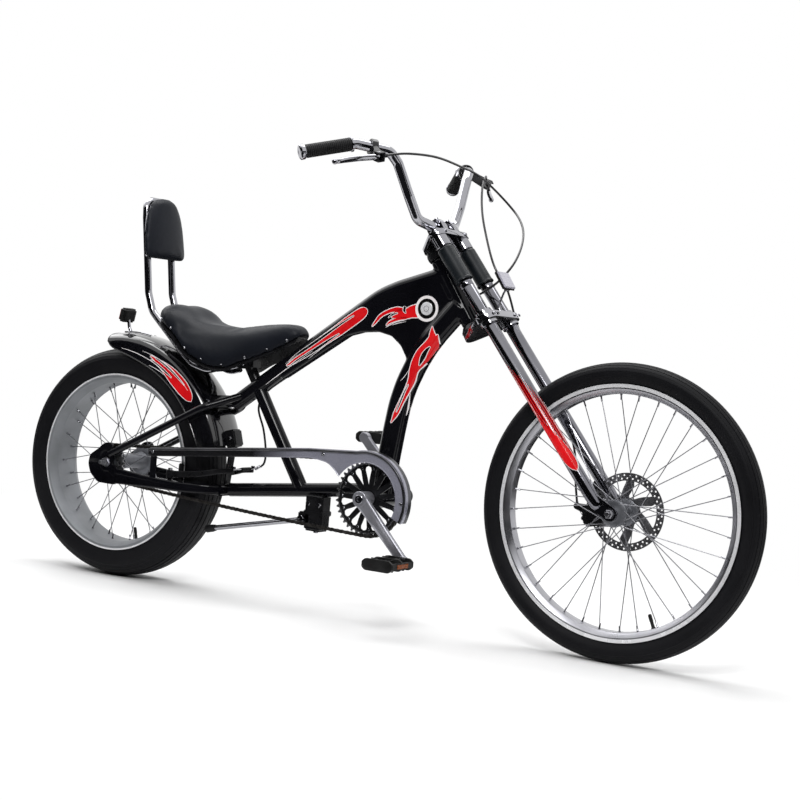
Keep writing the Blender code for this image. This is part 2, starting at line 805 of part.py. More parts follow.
def bottom_tube(frame):
    """The low tube, welded to the shell in which the crank axle turns."""
    edge = SHELL_HALF_LENGTH
    bore = CRANK_AXLE_RADIUS + GAP
    profile = [(bore, -edge - 4), (19, -edge - 4), (19, -edge), (SHELL_RADIUS, -edge),
               (SHELL_RADIUS, edge), (19, edge), (19, edge + 4), (bore, edge + 4)]
    body = solid("bottom_tube", turned(profile, 16, closed=True), black_paint(), frame,
                 Matrix.Translation(CRANK_CENTRE))
    weld(body, tool(pipe(bottom_tube_path(), BOTTOM_TUBE_RADIUS, 12), frame))
    cut(body, tool(rod((0, -30, 0), (0, 30, 0), bore / math.cos(math.pi / 24), 24), frame,
                   Matrix.Translation(CRANK_CENTRE)))


def bridge_block():
    """The cross piece between the seat stays, on the mudguard's crown."""
    slope = math.radians(32)
    near = FENDER_RADIUS + 2 * GAP
    far = near + 20
    middle = REAR_AXLE + Vector((math.cos(slope), 0, math.sin(slope))) * (near + far) / 2
    return block(middle, (far - near, 126, 24), 2, Matrix.Rotation(-slope, 4, "Y"))


def rear_triangle(frame, top_guide):
    """Chain stays with their dropouts and front yoke, and the seat stays with their bridge."""
    inner = DROPOUT_INNER
    yoke = laid((291, 0, 236))
    stays = solid("chain_stays", block(yoke, (26, 68, 26), 3), black_paint(), frame)
    seat_stays = solid("seat_stays", bridge_block(), black_paint(), frame)
    for word, side in SIDES:
        outline = [(-54, 262), (-46, 240), (-22, 220), (30, 219), (30, 263), (17, 263), (17, 306),
                   (8, 317), (-10, 314), (-28, 298), (-50, 283)]
        axle = circle(0, REAR_RADIUS, 5 + GAP, 12)
        weld(stays, tool(plate(laid_outline(outline), side * inner,
                               side * (inner + DROPOUT_THICKNESS), [axle]), frame))
        stations = [(14, STAY_Y, 241, 3.4, 20), (34, STAY_Y, 240, 3.6, 18), (110, STAY_Y, 238, 6, 14),
                    (205, STAY_Y + 1, 236, 7, 11.5), (248, 64, 236, 8, 11.5),
                    (284, 42, 236, 9, 11.5), (296, 26, 236, 9, 11.5)]
        rings = [bar_section(laid((x, side * y, z)), w, h) for x, y, z, w, h in stations]
        weld(stays, tool(loft(rings), frame))
        if side < 0:
            tab = [(131, 236), (147, 236), (147, 307), (143, 313), (135, 313), (131, 307)]
            weld(stays, tool(plate(laid_outline(tab), GUARD_TAB_Y, GUARD_TAB_Y + 3), frame))
        post = brake_post(side)
        weld(stays, tool(rod(post + Vector((0, 0, -14)), post + Vector((0, 0, 4.5)), 5, 10), frame))
        weld(stays, tool(block(post + Vector((0, side * 5, -16)), (16, 20, 6), 1), frame))
        corners = mirrored([(10, STAY_Y + 2.5, 290), (262, STAY_Y + 2.5, 422), (322, 14, 454)], side)
        path = bent_path([laid(corner) for corner in corners], 40, 4)
        weld(seat_stays, tool(pipe(path, SEAT_STAY_RADIUS, 8), frame))
    lip = tool(block((17 + GAP - 40, 0, REAR_RADIUS + 30.3), (80, 200, 90)), frame)
    cut(seat_stays, top_guide, lip)


def brake_post(side):
    """The middle of the stud on the chain stay that a rear brake arm turns on."""
    return laid((176, side * 62, 261))


def rear_brake_arm(word, frame, side):
    """An upright-pivoted arm beside the tyre with its pad over the rim's side."""
    rings = [bar_section((x, side * y, z), w, h) for x, y, z, w, h in (
        (-9, 0, 0, 3.5, 8), (12, 0, 1, 3.5, 8), (70, -1, 7, 3.5, 7), (104, -5, 14, 3.5, 7),
        (128, -17, 20, 4, 6), (160, -24, 24, 4, 6))]
    arm = solid("rear_brake_arm_" + word, loft(rings), alloy(), frame)
    weld(arm, tool(rod((0, 0, -9.5), (0, 0, 9), 8.5, 12), frame))
    cut(arm, tool(rod((0, 0, -14), (0, 0, 6), 5 + GAP, 12), frame))
    face = REAR_RIM_WIDTH / 2 + RUNNING_CLEARANCE - 62
    weld(arm, tool(block((26, side * (face + 4), 4), (12, 8, 46), 1.5), frame))


def rear_axle(frame):
    face = DROPOUT_INNER + DROPOUT_THICKNESS + GAP
    half = [(5, 0), (5, face), (10, face), (10, face + 11), (5, face + 11), (5, 101), (0, 101)]
    profile = [(r, -h) for r, h in half[::-1]] + half[1:]
    solid("rear_axle", turned(profile, 8), alloy(), frame, Matrix.Translation(REAR_AXLE))


# Fork and headset

def headset(frame):
    bore = STEERER_RADIUS + GAP
    low = HEAD_TUBE_BOTTOM - GAP
    cup = [(bore, CROWN_TOP + GAP), (27, CROWN_TOP + GAP), (25, low - 6), (21, low), (bore, low)]
    solid("lower_headset_cup", turned(cup, 16, "Z", closed=True), black_steel(), frame,
          head_matrix())
    top = HEAD_TUBE_TOP + GAP
    cup = [(bore, top), (21, top), (23, top + 8), (20, CLAMP_BOTTOM - GAP),
           (bore, CLAMP_BOTTOM - GAP)]
    solid("upper_headset_cup", turned(cup, 16, "Z", closed=True), black_steel(), frame,
          head_matrix())


def fork_leg(word, frame, side):
    """A thick lower tube that carries a thinner one, with a flattened tip for the axle."""
    leg = leg_matrix(side)
    end = 22 - LEG_REACH
    profile = [(0, end), (9, end), (12.5, end + 10), (LEG_RADIUS, end + 24), (LEG_RADIUS, LEG_TOP),
               (STANCHION_RADIUS, LEG_TOP), (STANCHION_RADIUS, STANCHION_TOP), (0, STANCHION_TOP)]
    body = solid("fork_leg_" + word, turned(profile, 16, "Z"), chrome(), frame, leg)
    near = side * (FORK_TIP_INNER - LEG_SPACING)
    far = near + side * FORK_TIP_THICKNESS
    outline = hull([(0, 40 - LEG_REACH, 14), (AXLE_OFFSET, -LEG_REACH, 15)], 16)
    hole = circle(AXLE_OFFSET, -LEG_REACH, 4.8 + GAP, 12)
    weld(body, tool(plate(outline, near, far, [hole]), frame, leg))
    pocket = ROTOR_Y + ROTOR_THICKNESS / 2 + RUNNING_CLEARANCE
    cut(body, tool(rod((0, -pocket, 0), (0, pocket, 0), ROTOR_RADIUS + 2 * RUNNING_CLEARANCE, 36),
                   frame, Matrix.Translation(axle_in_steer())))
    low = LEG_TOP + GAP
    bore = STANCHION_RADIUS + GAP
    sleeve = [(bore, low), (SLEEVE_RADIUS + 2, low), (SLEEVE_RADIUS + 2, low + 4),
              (SLEEVE_RADIUS, low + 6), (SLEEVE_RADIUS, SLEEVE_TOP), (bore, SLEEVE_TOP)]
    solid("fork_sleeve_" + word, turned(sleeve, 16, "Z", closed=True), grip_rubber(), frame, leg)


def fork_plates(frame):
    """The crown with the steerer pressed into it, and the clamp with its cap."""
    outline = hull([(0, 0, 27), (CROWN_OFFSET, LEG_SPACING, 25), (CROWN_OFFSET, -LEG_SPACING, 25)])
    crown = solid("lower_fork_crown", plate(outline, CROWN_BOTTOM, CROWN_TOP, lie="Z"), chrome(),
                  frame)
    weld(crown, tool(rod((0, 0, CROWN_TOP - 4), (0, 0, CLAMP_TOP - 1), STEERER_RADIUS, 20), frame))
    offset = (leg_matrix(1) @ Vector((0, 0, CLAMP_TOP))).x
    outline = hull([(0, 0, 24), (offset, LEG_SPACING, 20), (offset, -LEG_SPACING, 20)])
    clamp = solid("upper_fork_clamp", plate(outline, CLAMP_BOTTOM, CLAMP_TOP, lie="Z"), chrome(),
                  frame)
    for word, side in SIDES:
        leg_reach = (LEG_RADIUS + GAP) / math.cos(math.pi / 20)
        cut(crown, tool(rod((0, 0, -40), (0, 0, 40), leg_reach, 20), frame, leg_matrix(side)))
        tube_reach = (STANCHION_RADIUS + GAP) / math.cos(math.pi / 20)
        cut(clamp, tool(rod((0, 0, 180), (0, 0, 240), tube_reach, 20), frame, leg_matrix(side)))
    cap = [(0, CLAMP_TOP - 2), (16, CLAMP_TOP - 2), (16, CLAMP_TOP + 5), (9, CLAMP_TOP + 8),
           (0, CLAMP_TOP + 8)]
    weld(clamp, tool(turned(cap, 20, "Z"), frame))
    cut(clamp, tool(rod((0, 0, CLAMP_BOTTOM - 5), (0, 0, CLAMP_TOP - 1 + GAP),
                        (STEERER_RADIUS + GAP) / math.cos(math.pi / 20), 20), frame))


def front_axle(frame):
    face = FORK_TIP_INNER + FORK_TIP_THICKNESS + GAP
    half = [(4.8, 0), (4.8, face), (9, face), (9, face + 9), (4.8, face + 9), (4.8, 67.7), (0, 67.7)]
    profile = [(r, -h) for r, h in half[::-1]] + half[1:]
    solid("front_axle", turned(profile, 8), alloy(), frame, Matrix.Translation(axle_in_steer()))


def disc_caliper(frame):
    """A two-sided body over the rotor's edge on a bracket behind the left leg."""
    axle = axle_in_steer()
    towards = math.radians(192 - HEAD_ANGLE)
    out = Vector((math.cos(towards), 0, math.sin(towards)))
    place = Matrix.Translation(axle) @ Matrix.Rotation(-towards, 4, "Y")
    outline = [(54, -17), (60, -23), (88, -23), (96, -14), (96, 14), (88, 23), (60, 23), (54, 17)]
    body = solid("disc_caliper", plate(outline, 29, 60), black_paint(), frame, place)
    bracket = [(60, -8), (92, -16), (82, -58), (50, -84), (38, -62), (50, -20)]
    weld(body, tool(plate(bracket, 44, 51), frame, place))
    slot = RUNNING_CLEARANCE + ROTOR_THICKNESS / 2
    cut(body, tool(rod((0, ROTOR_Y - slot, 0), (0, ROTOR_Y + slot, 0),
                       ROTOR_RADIUS + 2 * RUNNING_CLEARANCE, 36), frame,
                   Matrix.Translation(axle)))
    leg_reach = (LEG_RADIUS + GAP) / math.cos(math.pi / 20)
    cut(body, tool(rod((0, 0, -LEG_REACH - 60), (0, 0, 0), leg_reach, 20), frame, leg_matrix(1)))
    return axle + out * 76


def caliper_arm(frame):
    """The short arm that the front brake cable pulls."""
    bm = plate(hull([(0, 0, 8), (-32, 8, 5)], 12), 60 + GAP, 64)
    solid("caliper_arm", bm, alloy(), frame)


# Handlebar

def bar_corners(side):
    return mirrored([(799, 0, 856.6), (799, 42, 856.6), (783, 81, 867), (776.5, 114.5, 913.7),
                     (766, 153, 977), (758, 176, 998), (711, 234, 1005), (641.5, 322, 974.6)], side)


def handlebar(frame):
    corners = bar_corners(-1)[:0:-1] + bar_corners(1)
    path = bent_path([steer_point(corner) for corner in corners], 26, 2)
    solid("handlebar", pipe(path, BAR_RADIUS, 8), chrome(), frame)
    for word, side in SIDES:
        outline = [(18, CLAMP_TOP + GAP), (56, CLAMP_TOP + GAP), (56, 240), (50, 251), (24, 251),
                   (18, 240)]
        middle = steer_point(bar_corners(1)[0])
        hole = circle(middle.x, middle.z, BAR_RADIUS + GAP + 0.4, 12)
        near = side * 14
        solid("bar_clamp_" + word, plate(outline, near, near + side * 22, [hole]), chrome(), frame)


def grip_line(side):
    corners = bar_corners(side)
    end = steer_point(corners[-1])
    start = steer_point(corners[-2])
    return start, end, (end - start).normalized()


def along_matrix(place, direction, up=Vector((0, 0, 1))):
    """Coordinates whose z runs along the direction and whose x points up as far as it can."""
    z = direction.normalized()
    x = (up - z * up.dot(z)).normalized()
    y = z.cross(x)
    turn = Matrix((x, y, z)).transposed().to_4x4()
    return Matrix.Translation(place) @ turn


def grips(frame):
    """Closed rubber sleeves on the ends of the bar."""
    bore = BAR_RADIUS + GAP + 0.4
    for word, side in SIDES:
        start, end, way = grip_line(side)
        stop = (end - start).length + GAP + 0.5
        low = stop - GRIP_LENGTH
        profile = [(0, stop), (bore, stop), (bore, low), (GRIP_RADIUS + 2, low),
                   (GRIP_RADIUS + 2, low + 5), (GRIP_RADIUS, low + 7), (GRIP_RADIUS, stop - 4),
                   (GRIP_RADIUS + 2, stop - 2), (GRIP_RADIUS + 2, stop + 4),
                   (GRIP_RADIUS - 4, stop + 7), (0, stop + 7)]
        solid("grip_" + word, turned(profile, 12, "Z"), grip_rubber(), frame,
              along_matrix(start, way))


def lever_pivot(side):
    return Vector((774, side * 245, 978))


def lever_tip(side):
    return Vector((744, side * 341, 953))


def lever_matrix(side):
    """Lever coordinates have x along the lever and z on its pivot, in bike coordinates."""
    along = (lever_tip(side) - lever_pivot(side)).normalized()
    grip_middle = Vector((676, side * 279, 990))
    pull = grip_middle - (lever_tip(side) + lever_pivot(side)) / 2
    axis = along.cross(pull).normalized()
    across = axis.cross(along)
    turn = Matrix((along, across, axis)).transposed().to_4x4()
    return Matrix.Translation(lever_pivot(side)) @ turn


def lever_perch(word, frame, side):
    """A clamp around the bar with an arm that carries the lever's pivot."""
    before, after = [steer_point(corner) for corner in bar_corners(side)[-3:-1]]
    centre = (before + after) / 2
    bar = along_matrix(centre, after - before)
    ring = [(BAR_RADIUS + GAP + 0.4, -7), (17, -7), (17, 7), (BAR_RADIUS + GAP + 0.4, 7)]
    perch = solid("lever_perch_" + word, turned(ring, 16, "Z", closed=True), black_plastic(), frame,
                  bar)
    pivot = steer_point(lever_pivot(side))
    root = centre + (pivot - centre).normalized() * 13
    lever = layout_head().inverted() @ lever_matrix(side)
    reach = lever.inverted() @ root
    arm = loft([[(reach.x - 3, reach.y, reach.z + 9), (reach.x + 3, reach.y, reach.z + 9),
                 (reach.x + 3, reach.y, reach.z - 9), (reach.x - 3, reach.y, reach.z - 9)],
                [(-12, 9, 10), (7, 9, 10), (7, 9, -10), (-12, 9, -10)],
                [(-12, -8, 10), (7, -8, 10), (7, -8, -10), (-12, -8, -10)]])
    weld(perch, tool(arm, frame, lever))
    cut(perch, tool(block((3.8, 2, 0), (24.6, 26, 15)), frame, lever))
    weld(perch, tool(rod((0, 0, -9), (0, 0, 9), LEVER_PIN_RADIUS, 10), frame, lever),
         tool(rod((-11, 0, 0), (-23, 0, 0), 4.5, 8), frame, lever))
    return perch, lever


def brake_lever(word, frame, side):
    """A curved blade that swings towards the grip."""
    stations = [(-6, 0, 6.5, 4.5), (12, 1, 6.5, 5), (45, 7, 7, 4), (80, 9, 7, 4),
                (98, 8, 6, 4), (106, 10, 5, 4)]
    rings = []
    for x, y, half_wide, half_tall in stations:
        rings.append([(x, y - half_tall, -half_wide * 0.7), (x, y - half_tall, half_wide * 0.7),
                      (x, y, half_wide), (x, y + half_tall, half_wide * 0.7),
                      (x, y + half_tall, -half_wide * 0.7), (x, y, -half_wide)])
    lever = solid("brake_lever_" + word, loft(rings), alloy(), frame)
    hole = (LEVER_PIN_RADIUS + GAP) / math.cos(math.pi / 10)
    cut(lever, tool(rod((0, 0, -12), (0, 0, 12), hole, 10), frame))


# Brake cables

def cable_start(side):
    """Leaves the perch's adjuster in line with it."""
    lever = lever_matrix(side)
    return [lever @ Vector((-23 - GAP, 0, 0)), lever @ Vector((-36, 0, 0))]


def front_cable_route():
    """From the left perch over the bar's front and down the left leg to the caliper."""
    leg = leg_matrix(1)
    high = [(792, 194, 992), (801, 165, 968), (822, 130, 918), (850, 100, 866), (898, 62, 790)]
    low = [(26, 26, 64), (8, 31, 8), (3, 29, -14), (0, 19.5, -72), (-4, 18, -200),
           (-21.6, 18, -300), (-63.6, 16, -376), (-83.6, 13.5, -416)]
    high = cable_start(1) + [Vector(point) for point in high]
    return [steer_point(point) for point in high] + [leg @ Vector(point) for point in low]


def rear_cable_route():
    """From the right perch in a wide loop to the frame's left side and back to the brake."""
    loop = [(808, -182, 993), (826, -100, 997), (828, 5, 991), (832, 100, 978), (872, 168, 925),
            (918, 140, 884), (948, 90, 842), (954, 48, 796), (936, 24, 757), (908, 19, 733),
            (884, 26, 722), (862, 29, 722), (828, 27, 738)]
    frame_run = [(790, 24, 735), (711, 23.5, 708), (650, 23.5, 676), (575, 23.5, 622),
                 (502, 23.5, 568), (430, 23.5, 515), (366, 24, 468), (345, 28, 430), (354, 42, 380),
                 (358, 52, 330), (352, 56, 300), (338, 43.5, 287)]
    return cable_start(-1) + loop + frame_run


def brake_cable(name, frame, corners):
    """A cable in its housing along a hand-laid route."""
    solid(name, pipe(smooth_path(corners, 28), CABLE_RADIUS, 6), grip_rubber(), frame)


# Front reflector

def front_reflector(frame):
    solid("front_reflector", block((112.7, 0, 61.4), (9, 52, 42), 2), clear_lens(), frame)
    corners = [(72, 0, CROWN_TOP + GAP + 2), (72, 0, 22), (96, 0, 40), (103.5, 0, 44)]
    bracket = solid("front_reflector_bracket", pipe(bent_path(corners, 6, 3), 2.2, 8), chrome(),
                    frame)
    weld(bracket, tool(rod((72, 0, CROWN_TOP + GAP), (72, 0, CROWN_TOP + 4), 7, 12), frame))
    weld(bracket, tool(block((106, 0, 47), (3.4, 20, 14)), frame))


# Mudguard, seat and backrest

def rear_mudguard(frame):
    """A rolled sheet with its lower mounting block, which stands on the bottom tube's yoke."""
    crown = [(30, 1.0), (15, 0.95), (6, 0.75), (1, 0.37), (0, 0)]
    outer = [(FENDER_RADIUS - drop, FENDER_HALF_WIDTH * share) for drop, share in crown]
    outer += [(r, -y) for r, y in outer[-2::-1]]
    sheet = FENDER_SHEET
    inner = []
    for r, y in outer[::-1]:
        share = abs(y) / FENDER_HALF_WIDTH
        inner.append((r - sheet * (1 - 0.8 * share), y - math.copysign(sheet * share, y)))
    bm = turned(outer + inner, 16, start=13, turn=85)
    fender = solid("rear_mudguard", bm, black_paint(), frame, Matrix.Translation(REAR_AXLE))
    weld(fender, tool(block(REAR_AXLE + Vector((FENDER_RADIUS - 3, 0, 85.3)), (28, 34, 40), 3,
                            Matrix.Rotation(math.radians(-16), 4, "Y")), frame))
    strip = [(291, 249 + GAP), (295, 249 + GAP), (306, 345), (301, 345)]
    weld(fender, tool(plate(laid_outline(strip), -11, 11), frame))


def rear_reflector(frame):
    """A lamp-shaped reflector on a stalk over the mudguard's tail."""
    turn = Matrix.Rotation(math.radians(12), 4, "Y")
    foot = REAR_AXLE + Vector((-20, 0, math.sqrt(FENDER_RADIUS ** 2 - 400) + GAP))
    body = solid("rear_reflector", block(foot + Vector((-13, 0, 40.7)), (18, 44, 33), 4, turn),
                 black_plastic(), frame)
    stalk = [foot + Vector(step) for step in ((-10, 0, 30.7), (-5, 0, 10.7), (0, 0, 2.5))]
    weld(body, tool(pipe(bent_path(stalk, 6, 3), 4, 10), frame))
    weld(body, tool(block(foot + Vector((0, 0, 1.6)), (26, 16, 3), 0.8,
                          Matrix.Rotation(math.radians(-4), 4, "Y")), frame))


def backrest_matrix():
    return Matrix.Translation((55.6, 0, 750)) @ Matrix.Rotation(-math.radians(PAD_LEAN), 4, "Y")


def sissy_path():
    half = SISSY_HALF_SPACING
    side = [(272, half, 514), (247, half, 507), (202, half, 518), (179, half, 536),
            (75, half, 630), (59, half, 673), (35.7, half, 846)]
    top = [(30, half - 4, 888), (30, 4 - half, 888)]
    corners = mirrored(side, -1) + mirrored(top, -1) + mirrored(side, 1)[::-1]
    return bent_path(corners, 42, 2)


def sissy_bar(frame):
    """The tall bar behind the seat, with a welded plate for the backrest's bolts."""
    bar = solid("sissy_bar", pipe(sissy_path(), SISSY_RADIUS, 8), chrome(), frame)
    outline = [(-58, 4), (58, 4), (65, 14), (63, 60), (55, 100), (40, 122), (20, 134), (-20, 134),
               (-40, 122), (-55, 100), (-63, 60), (-65, 14)]
    turn = Matrix.Rotation(-math.pi / 2, 4, "Z")
    weld(bar, tool(plate(outline, 0, 3), frame, backrest_matrix() @ turn))


def backrest(frame):
    """A padded cushion whose flat back lies against the bar."""
    place = backrest_matrix()
    rings = []
    for height, half in ((-2, 66), (10, 75), (60, 73), (105, 64), (132, 47), (145, 28)):
        edge = 10 if height in (-2, 145) else 18
        crown = 18 if height in (-2, 145) else 33
        ring = [(0, -half + 4, height), (0, half - 4, height), (edge * 0.5, half, height),
                (edge, half - 2, height), (crown * 0.86, half * 0.62, height), (crown, 0, height),
                (crown * 0.86, -half * 0.62, height), (edge, -half + 2, height),
                (edge * 0.5, -half, height)]
        rings.append(ring)
    solid("backrest_pad", loft(rings), black_vinyl(), frame,
          place @ Matrix.Translation((3 + GAP, 0, 0)))


def saddle_top(x):
    """The seat's crown line along the middle."""
    points = [(104, 632), (116, 649), (135, 655), (159, 650), (180, 639), (205, 621), (243, 611),
              (308, 609), (377, 621), (440, 631), (464, 626), (476, 612)]
    return line_value(points, x)


def saddle_half_width(x):
    return line_value([(104, 46), (112, 66), (130, 88), (165, 102), (225, 102), (291, 82),
                       (352, 60), (410, 46), (460, 36), (476, 22)], x)


def saddle_edge(x):
    """The lower edge of the cover, along the rivets."""
    return line_value([(104, 622), (112, 615), (130, 606), (176, 580), (220, 538), (291, 510),
                       (352, 532), (416, 561), (462, 587), (476, 600)], x)


SADDLE_STATIONS = (104, 112, 127, 150, 178, 205, 240, 285, 330, 375, 420, 450, 467, 476)


def line_value(points, x):
    for (x0, v0), (x1, v1) in zip(points, points[1:]):
        if x <= x1:
            return v0 + (v1 - v0) * (x - x0) / (x1 - x0)
    return points[-1][1]


def pan_rings(above, below):
    """Sections of the pan under the cushion, between two depths under its lower side."""
    rings = []
    for x in SADDLE_STATIONS[2:-1]:
        half = saddle_half_width(x)
        low = saddle_edge(x)
        rise = 0.3 * (saddle_top(x) - low)
        rings.append([(x, half - 3, low - above), (x, half * 0.5, low + rise - above),
                      (x, -half * 0.5, low + rise - above), (x, -half + 3, low - above),
                      (x, -half + 3, low - below), (x, -half * 0.5, low + rise - below),
                      (x, half * 0.5, low + rise - below), (x, half - 3, low - below)])
    return rings


def saddle(frame):
    """A long padded seat on a steel pan, which has two ears for the backrest's bar."""
    rings = []
    for x in SADDLE_STATIONS:
        half = saddle_half_width(x)
        top = saddle_top(x)
        low = saddle_edge(x)
        tall = top - low
        rings.append([(x, -half + 3, low), (x, -half, low + 0.25 * tall),
                      (x, -half * 0.94, low + 0.62 * tall), (x, -half * 0.72, low + 0.9 * tall),
                      (x, -half * 0.36, top), (x, 0, top - 2), (x, half * 0.36, top),
                      (x, half * 0.72, low + 0.9 * tall), (x, half * 0.94, low + 0.62 * tall),
                      (x, half, low + 0.25 * tall), (x, half - 3, low),
                      (x, half * 0.5, low + 0.3 * tall), (x, -half * 0.5, low + 0.3 * tall)])
    solid("saddle_cushion", loft(rings), black_vinyl(), frame)
    pan = solid("saddle_pan", loft(pan_rings(PAN_GAP, PAN_GAP + PAN_SHEET)), black_steel(), frame)
    bar_guide = tool(pipe(sissy_path(), SISSY_RADIUS + 2 * GAP, 8), frame)
    skin = tool(loft(pan_rings(PAN_GAP + 2, -60)), frame)
    for side in (-1, 1):
        ear = tool(block((261, side * SISSY_HALF_SPACING, 530), (14, 5, 44)), frame)
        cut(ear, skin)
        weld(pan, ear)
    cut(pan, bar_guide)


# Chain guard and kickstand

def chain_guard(frame):
    cx = CRANK_X
    cz = CRANK_Z
    inner = []
    outer = []
    for i in range(15):
        angle = math.radians(-24 + (148 + 24) * i / 14)
        inner.append((cx + GUARD_INNER * math.cos(angle), cz + GUARD_INNER * math.sin(angle)))
    for i in range(13):
        angle = math.radians(-24 + (104 + 24) * i / 12)
        outer.append((cx + GUARD_OUTER * math.cos(angle), cz + GUARD_OUTER * math.sin(angle)))
    lower = [(632, 322), (614, 336), (572, 343), (133, 299)]
    upper = [(127, 301), (127, 313), (131, 317), (563, 361)]
    lower = laid_outline(lower)
    upper = laid_outline(upper)
    outline = outer + upper[::-1] + lower[::-1] + inner[::-1]
    y = -GUARD_Y
    guard = solid("chain_guard", plate(outline, y - GUARD_SHEET, y), guard_silver(), frame)
    rim = outer + upper[:1:-1]
    middle = Vector((cx, cz))
    inset = []
    for x, z in rim:
        if x > 600:
            out = (Vector((x, z)) - middle).normalized()
        else:
            out = Vector((-0.11, 0.994))
        inset.append((x - out.x * GUARD_SHEET, z - out.y * GUARD_SHEET))
    weld(guard, tool(plate(rim + inset[::-1], y - 0.5, y + 11), frame))
    boss = tool(rod(laid((139, y - 0.5, 309)), laid((139, GUARD_TAB_Y - GAP, 309)), 6, 12), frame)
    weld(guard, boss)


def seat_post(frame):
    """The post with the clamp block that holds the saddle pan."""
    post = solid("seat_post", rod(seat_axis(152), seat_axis(300), SEAT_POST_RADIUS, 16), chrome(),
                 frame)
    weld(post, tool(block(seat_axis(300) + Vector((0, 0, 6)), (44, 40, 36), 3), frame))
    cut(post, tool(loft(pan_rings(-40, PAN_GAP + PAN_SHEET + GAP)), frame))


def kickstand_matrix():
    """Stand coordinates have y along the pivot, which leans a little to spread the foot."""
    axis = Vector((0.10, 0.987, -0.125)).normalized()
    x = (Vector((1, 0, 0)) - axis * axis.x).normalized()
    z = x.cross(axis)
    turn = Matrix((x, axis, z)).transposed().to_4x4()
    return Matrix.Translation((524, -31.7, 198)) @ turn


def kickstand(frame, stand_frame):
    """A bracket under the bottom tube and a leg folded back along the pivot's plane."""
    housing = solid("kickstand_bracket", block((547, -4, 215), (46, 40, 82), 4), black_paint(),
                    frame)
    weld(housing, tool(block((524, -14, 200), (32, 20, 30), 3), frame))
    cut(housing, tube_cutter(bottom_tube_path(), BOTTOM_TUBE_RADIUS, 16, frame),
        tool(rod((0, -10, 0), (0, 22, 0), 4 + GAP, 12), frame, kickstand_matrix()))
    path = bent_path([(0, 0, 0), (-30, 0, -6), (-238, 0, -47), (-266, 0, -53)], 30, 3)
    leg = solid("kickstand_leg", pipe(path, 6.5, 10), chrome(), stand_frame)
    weld(leg, tool(rod((0, -6, 0), (0, 6, 0), 9.5, 14), stand_frame),
         tool(rod((0, 0, 0), (0, 21, 0), 4, 12), stand_frame))


def build():
    clear_scene()
    bike = joint_frame("bike", Matrix.Translation((REAR_X, 0, 0)))
    rear = joint_frame("rear_axle_line", Matrix.Translation(REAR_AXLE), bike)
    steer = joint_frame("steering_axis", head_matrix(), bike)
    front = joint_frame("front_axle_line", Matrix.Translation(axle_in_steer())
                        @ Matrix.Rotation(math.radians(HEAD_ANGLE), 4, "Y"), steer)
    crank = joint_frame("crank_axis", Matrix.Translation(CRANK_CENTRE), bike)
    rear_wheel(rear)
    rear_cog(rear)
    front_wheel(front)
    chain_loop(bike)
    cranks(crank)
    for word, side in SIDES:
        eye = Matrix.Translation(pedal_eye(side))
        pedal(word, joint_frame("pedal_axis_" + word, eye, crank), side)
        arm = joint_frame("brake_arm_axis_" + word, Matrix.Translation(brake_post(side)), bike)
        rear_brake_arm(word, arm, side)
    top_guide = main_tubes(bike)
    rear_triangle(bike, top_guide)
    rear_axle(bike)
    headset(bike)
    fork_plates(steer)
    for word, side in SIDES:
        fork_leg(word, steer, side)
    front_axle(steer)
    arm_place = disc_caliper(steer)
    caliper_arm(joint_frame("caliper_arm_axis", Matrix.Translation(arm_place), steer))
    handlebar(steer)
    grips(steer)
    for word, side in SIDES:
        perch, lever = lever_perch(word, steer, side)
        brake_lever(word, joint_frame("lever_axis_" + word, lever, steer), side)
    front_reflector(steer)
    rear_mudguard(bike)
    rear_reflector(bike)
    sissy_bar(bike)
    backrest(bike)
    saddle(bike)
    seat_post(bike)
    chain_guard(bike)
    kickstand(bike, joint_frame("kickstand_axis", kickstand_matrix(), bike))
    brake_cable("front_brake_cable", steer, front_cable_route())
    brake_cable("rear_brake_cable", bike, rear_cable_route())


build()
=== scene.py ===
# %% [markdown]
# # A long, low chopper bicycle
# This lesson dresses a packed bicycle. All sizes below are millimetres in bike coordinates: x runs
# forward from the rear axle, y to the rider's left and z up from the ground. One matrix turns them
# into metres in the shared frame. Sizes that several pieces share have names: the wheels, the fork's
# lean and reach, and the drive.

# %% Load the frame
import math

import bmesh
import bpy
from mathutils import Matrix, Vector
from mathutils.bvhtree import BVHTree


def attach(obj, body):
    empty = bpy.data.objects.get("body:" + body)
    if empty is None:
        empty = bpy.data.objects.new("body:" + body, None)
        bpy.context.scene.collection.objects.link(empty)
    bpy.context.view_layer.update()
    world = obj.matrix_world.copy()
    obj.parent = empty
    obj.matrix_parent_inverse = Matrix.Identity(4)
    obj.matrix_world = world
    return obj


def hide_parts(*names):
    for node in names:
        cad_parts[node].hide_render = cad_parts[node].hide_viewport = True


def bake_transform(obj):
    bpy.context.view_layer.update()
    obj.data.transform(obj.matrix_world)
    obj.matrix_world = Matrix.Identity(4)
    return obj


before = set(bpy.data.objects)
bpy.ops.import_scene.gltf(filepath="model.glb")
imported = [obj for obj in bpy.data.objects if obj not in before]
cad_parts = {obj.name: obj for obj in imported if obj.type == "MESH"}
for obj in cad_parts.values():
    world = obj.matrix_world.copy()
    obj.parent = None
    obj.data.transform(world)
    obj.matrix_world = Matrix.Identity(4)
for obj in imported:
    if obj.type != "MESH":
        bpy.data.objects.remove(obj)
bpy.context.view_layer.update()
WHEELBASE = 1262.2
REAR_RADIUS = 269.7
FRONT_RADIUS = 303.5
REAR_AXLE = Vector((0, 0, REAR_RADIUS))
FRONT_AXLE = Vector((WHEELBASE, 0, FRONT_RADIUS))
CRANK = Vector((710.1, 0, 268.0))
RIM_RADIUS = {"front": 259.5, "rear": 207.3}
RIM_WIDTH = {"front": 42, "rear": 100}
STEER_ANGLE = 34.2
CROWN_AHEAD = 56.5
LEG_SPREAD = 49
LEG_LEAN = 4.3
LEG_REACH = 484.2
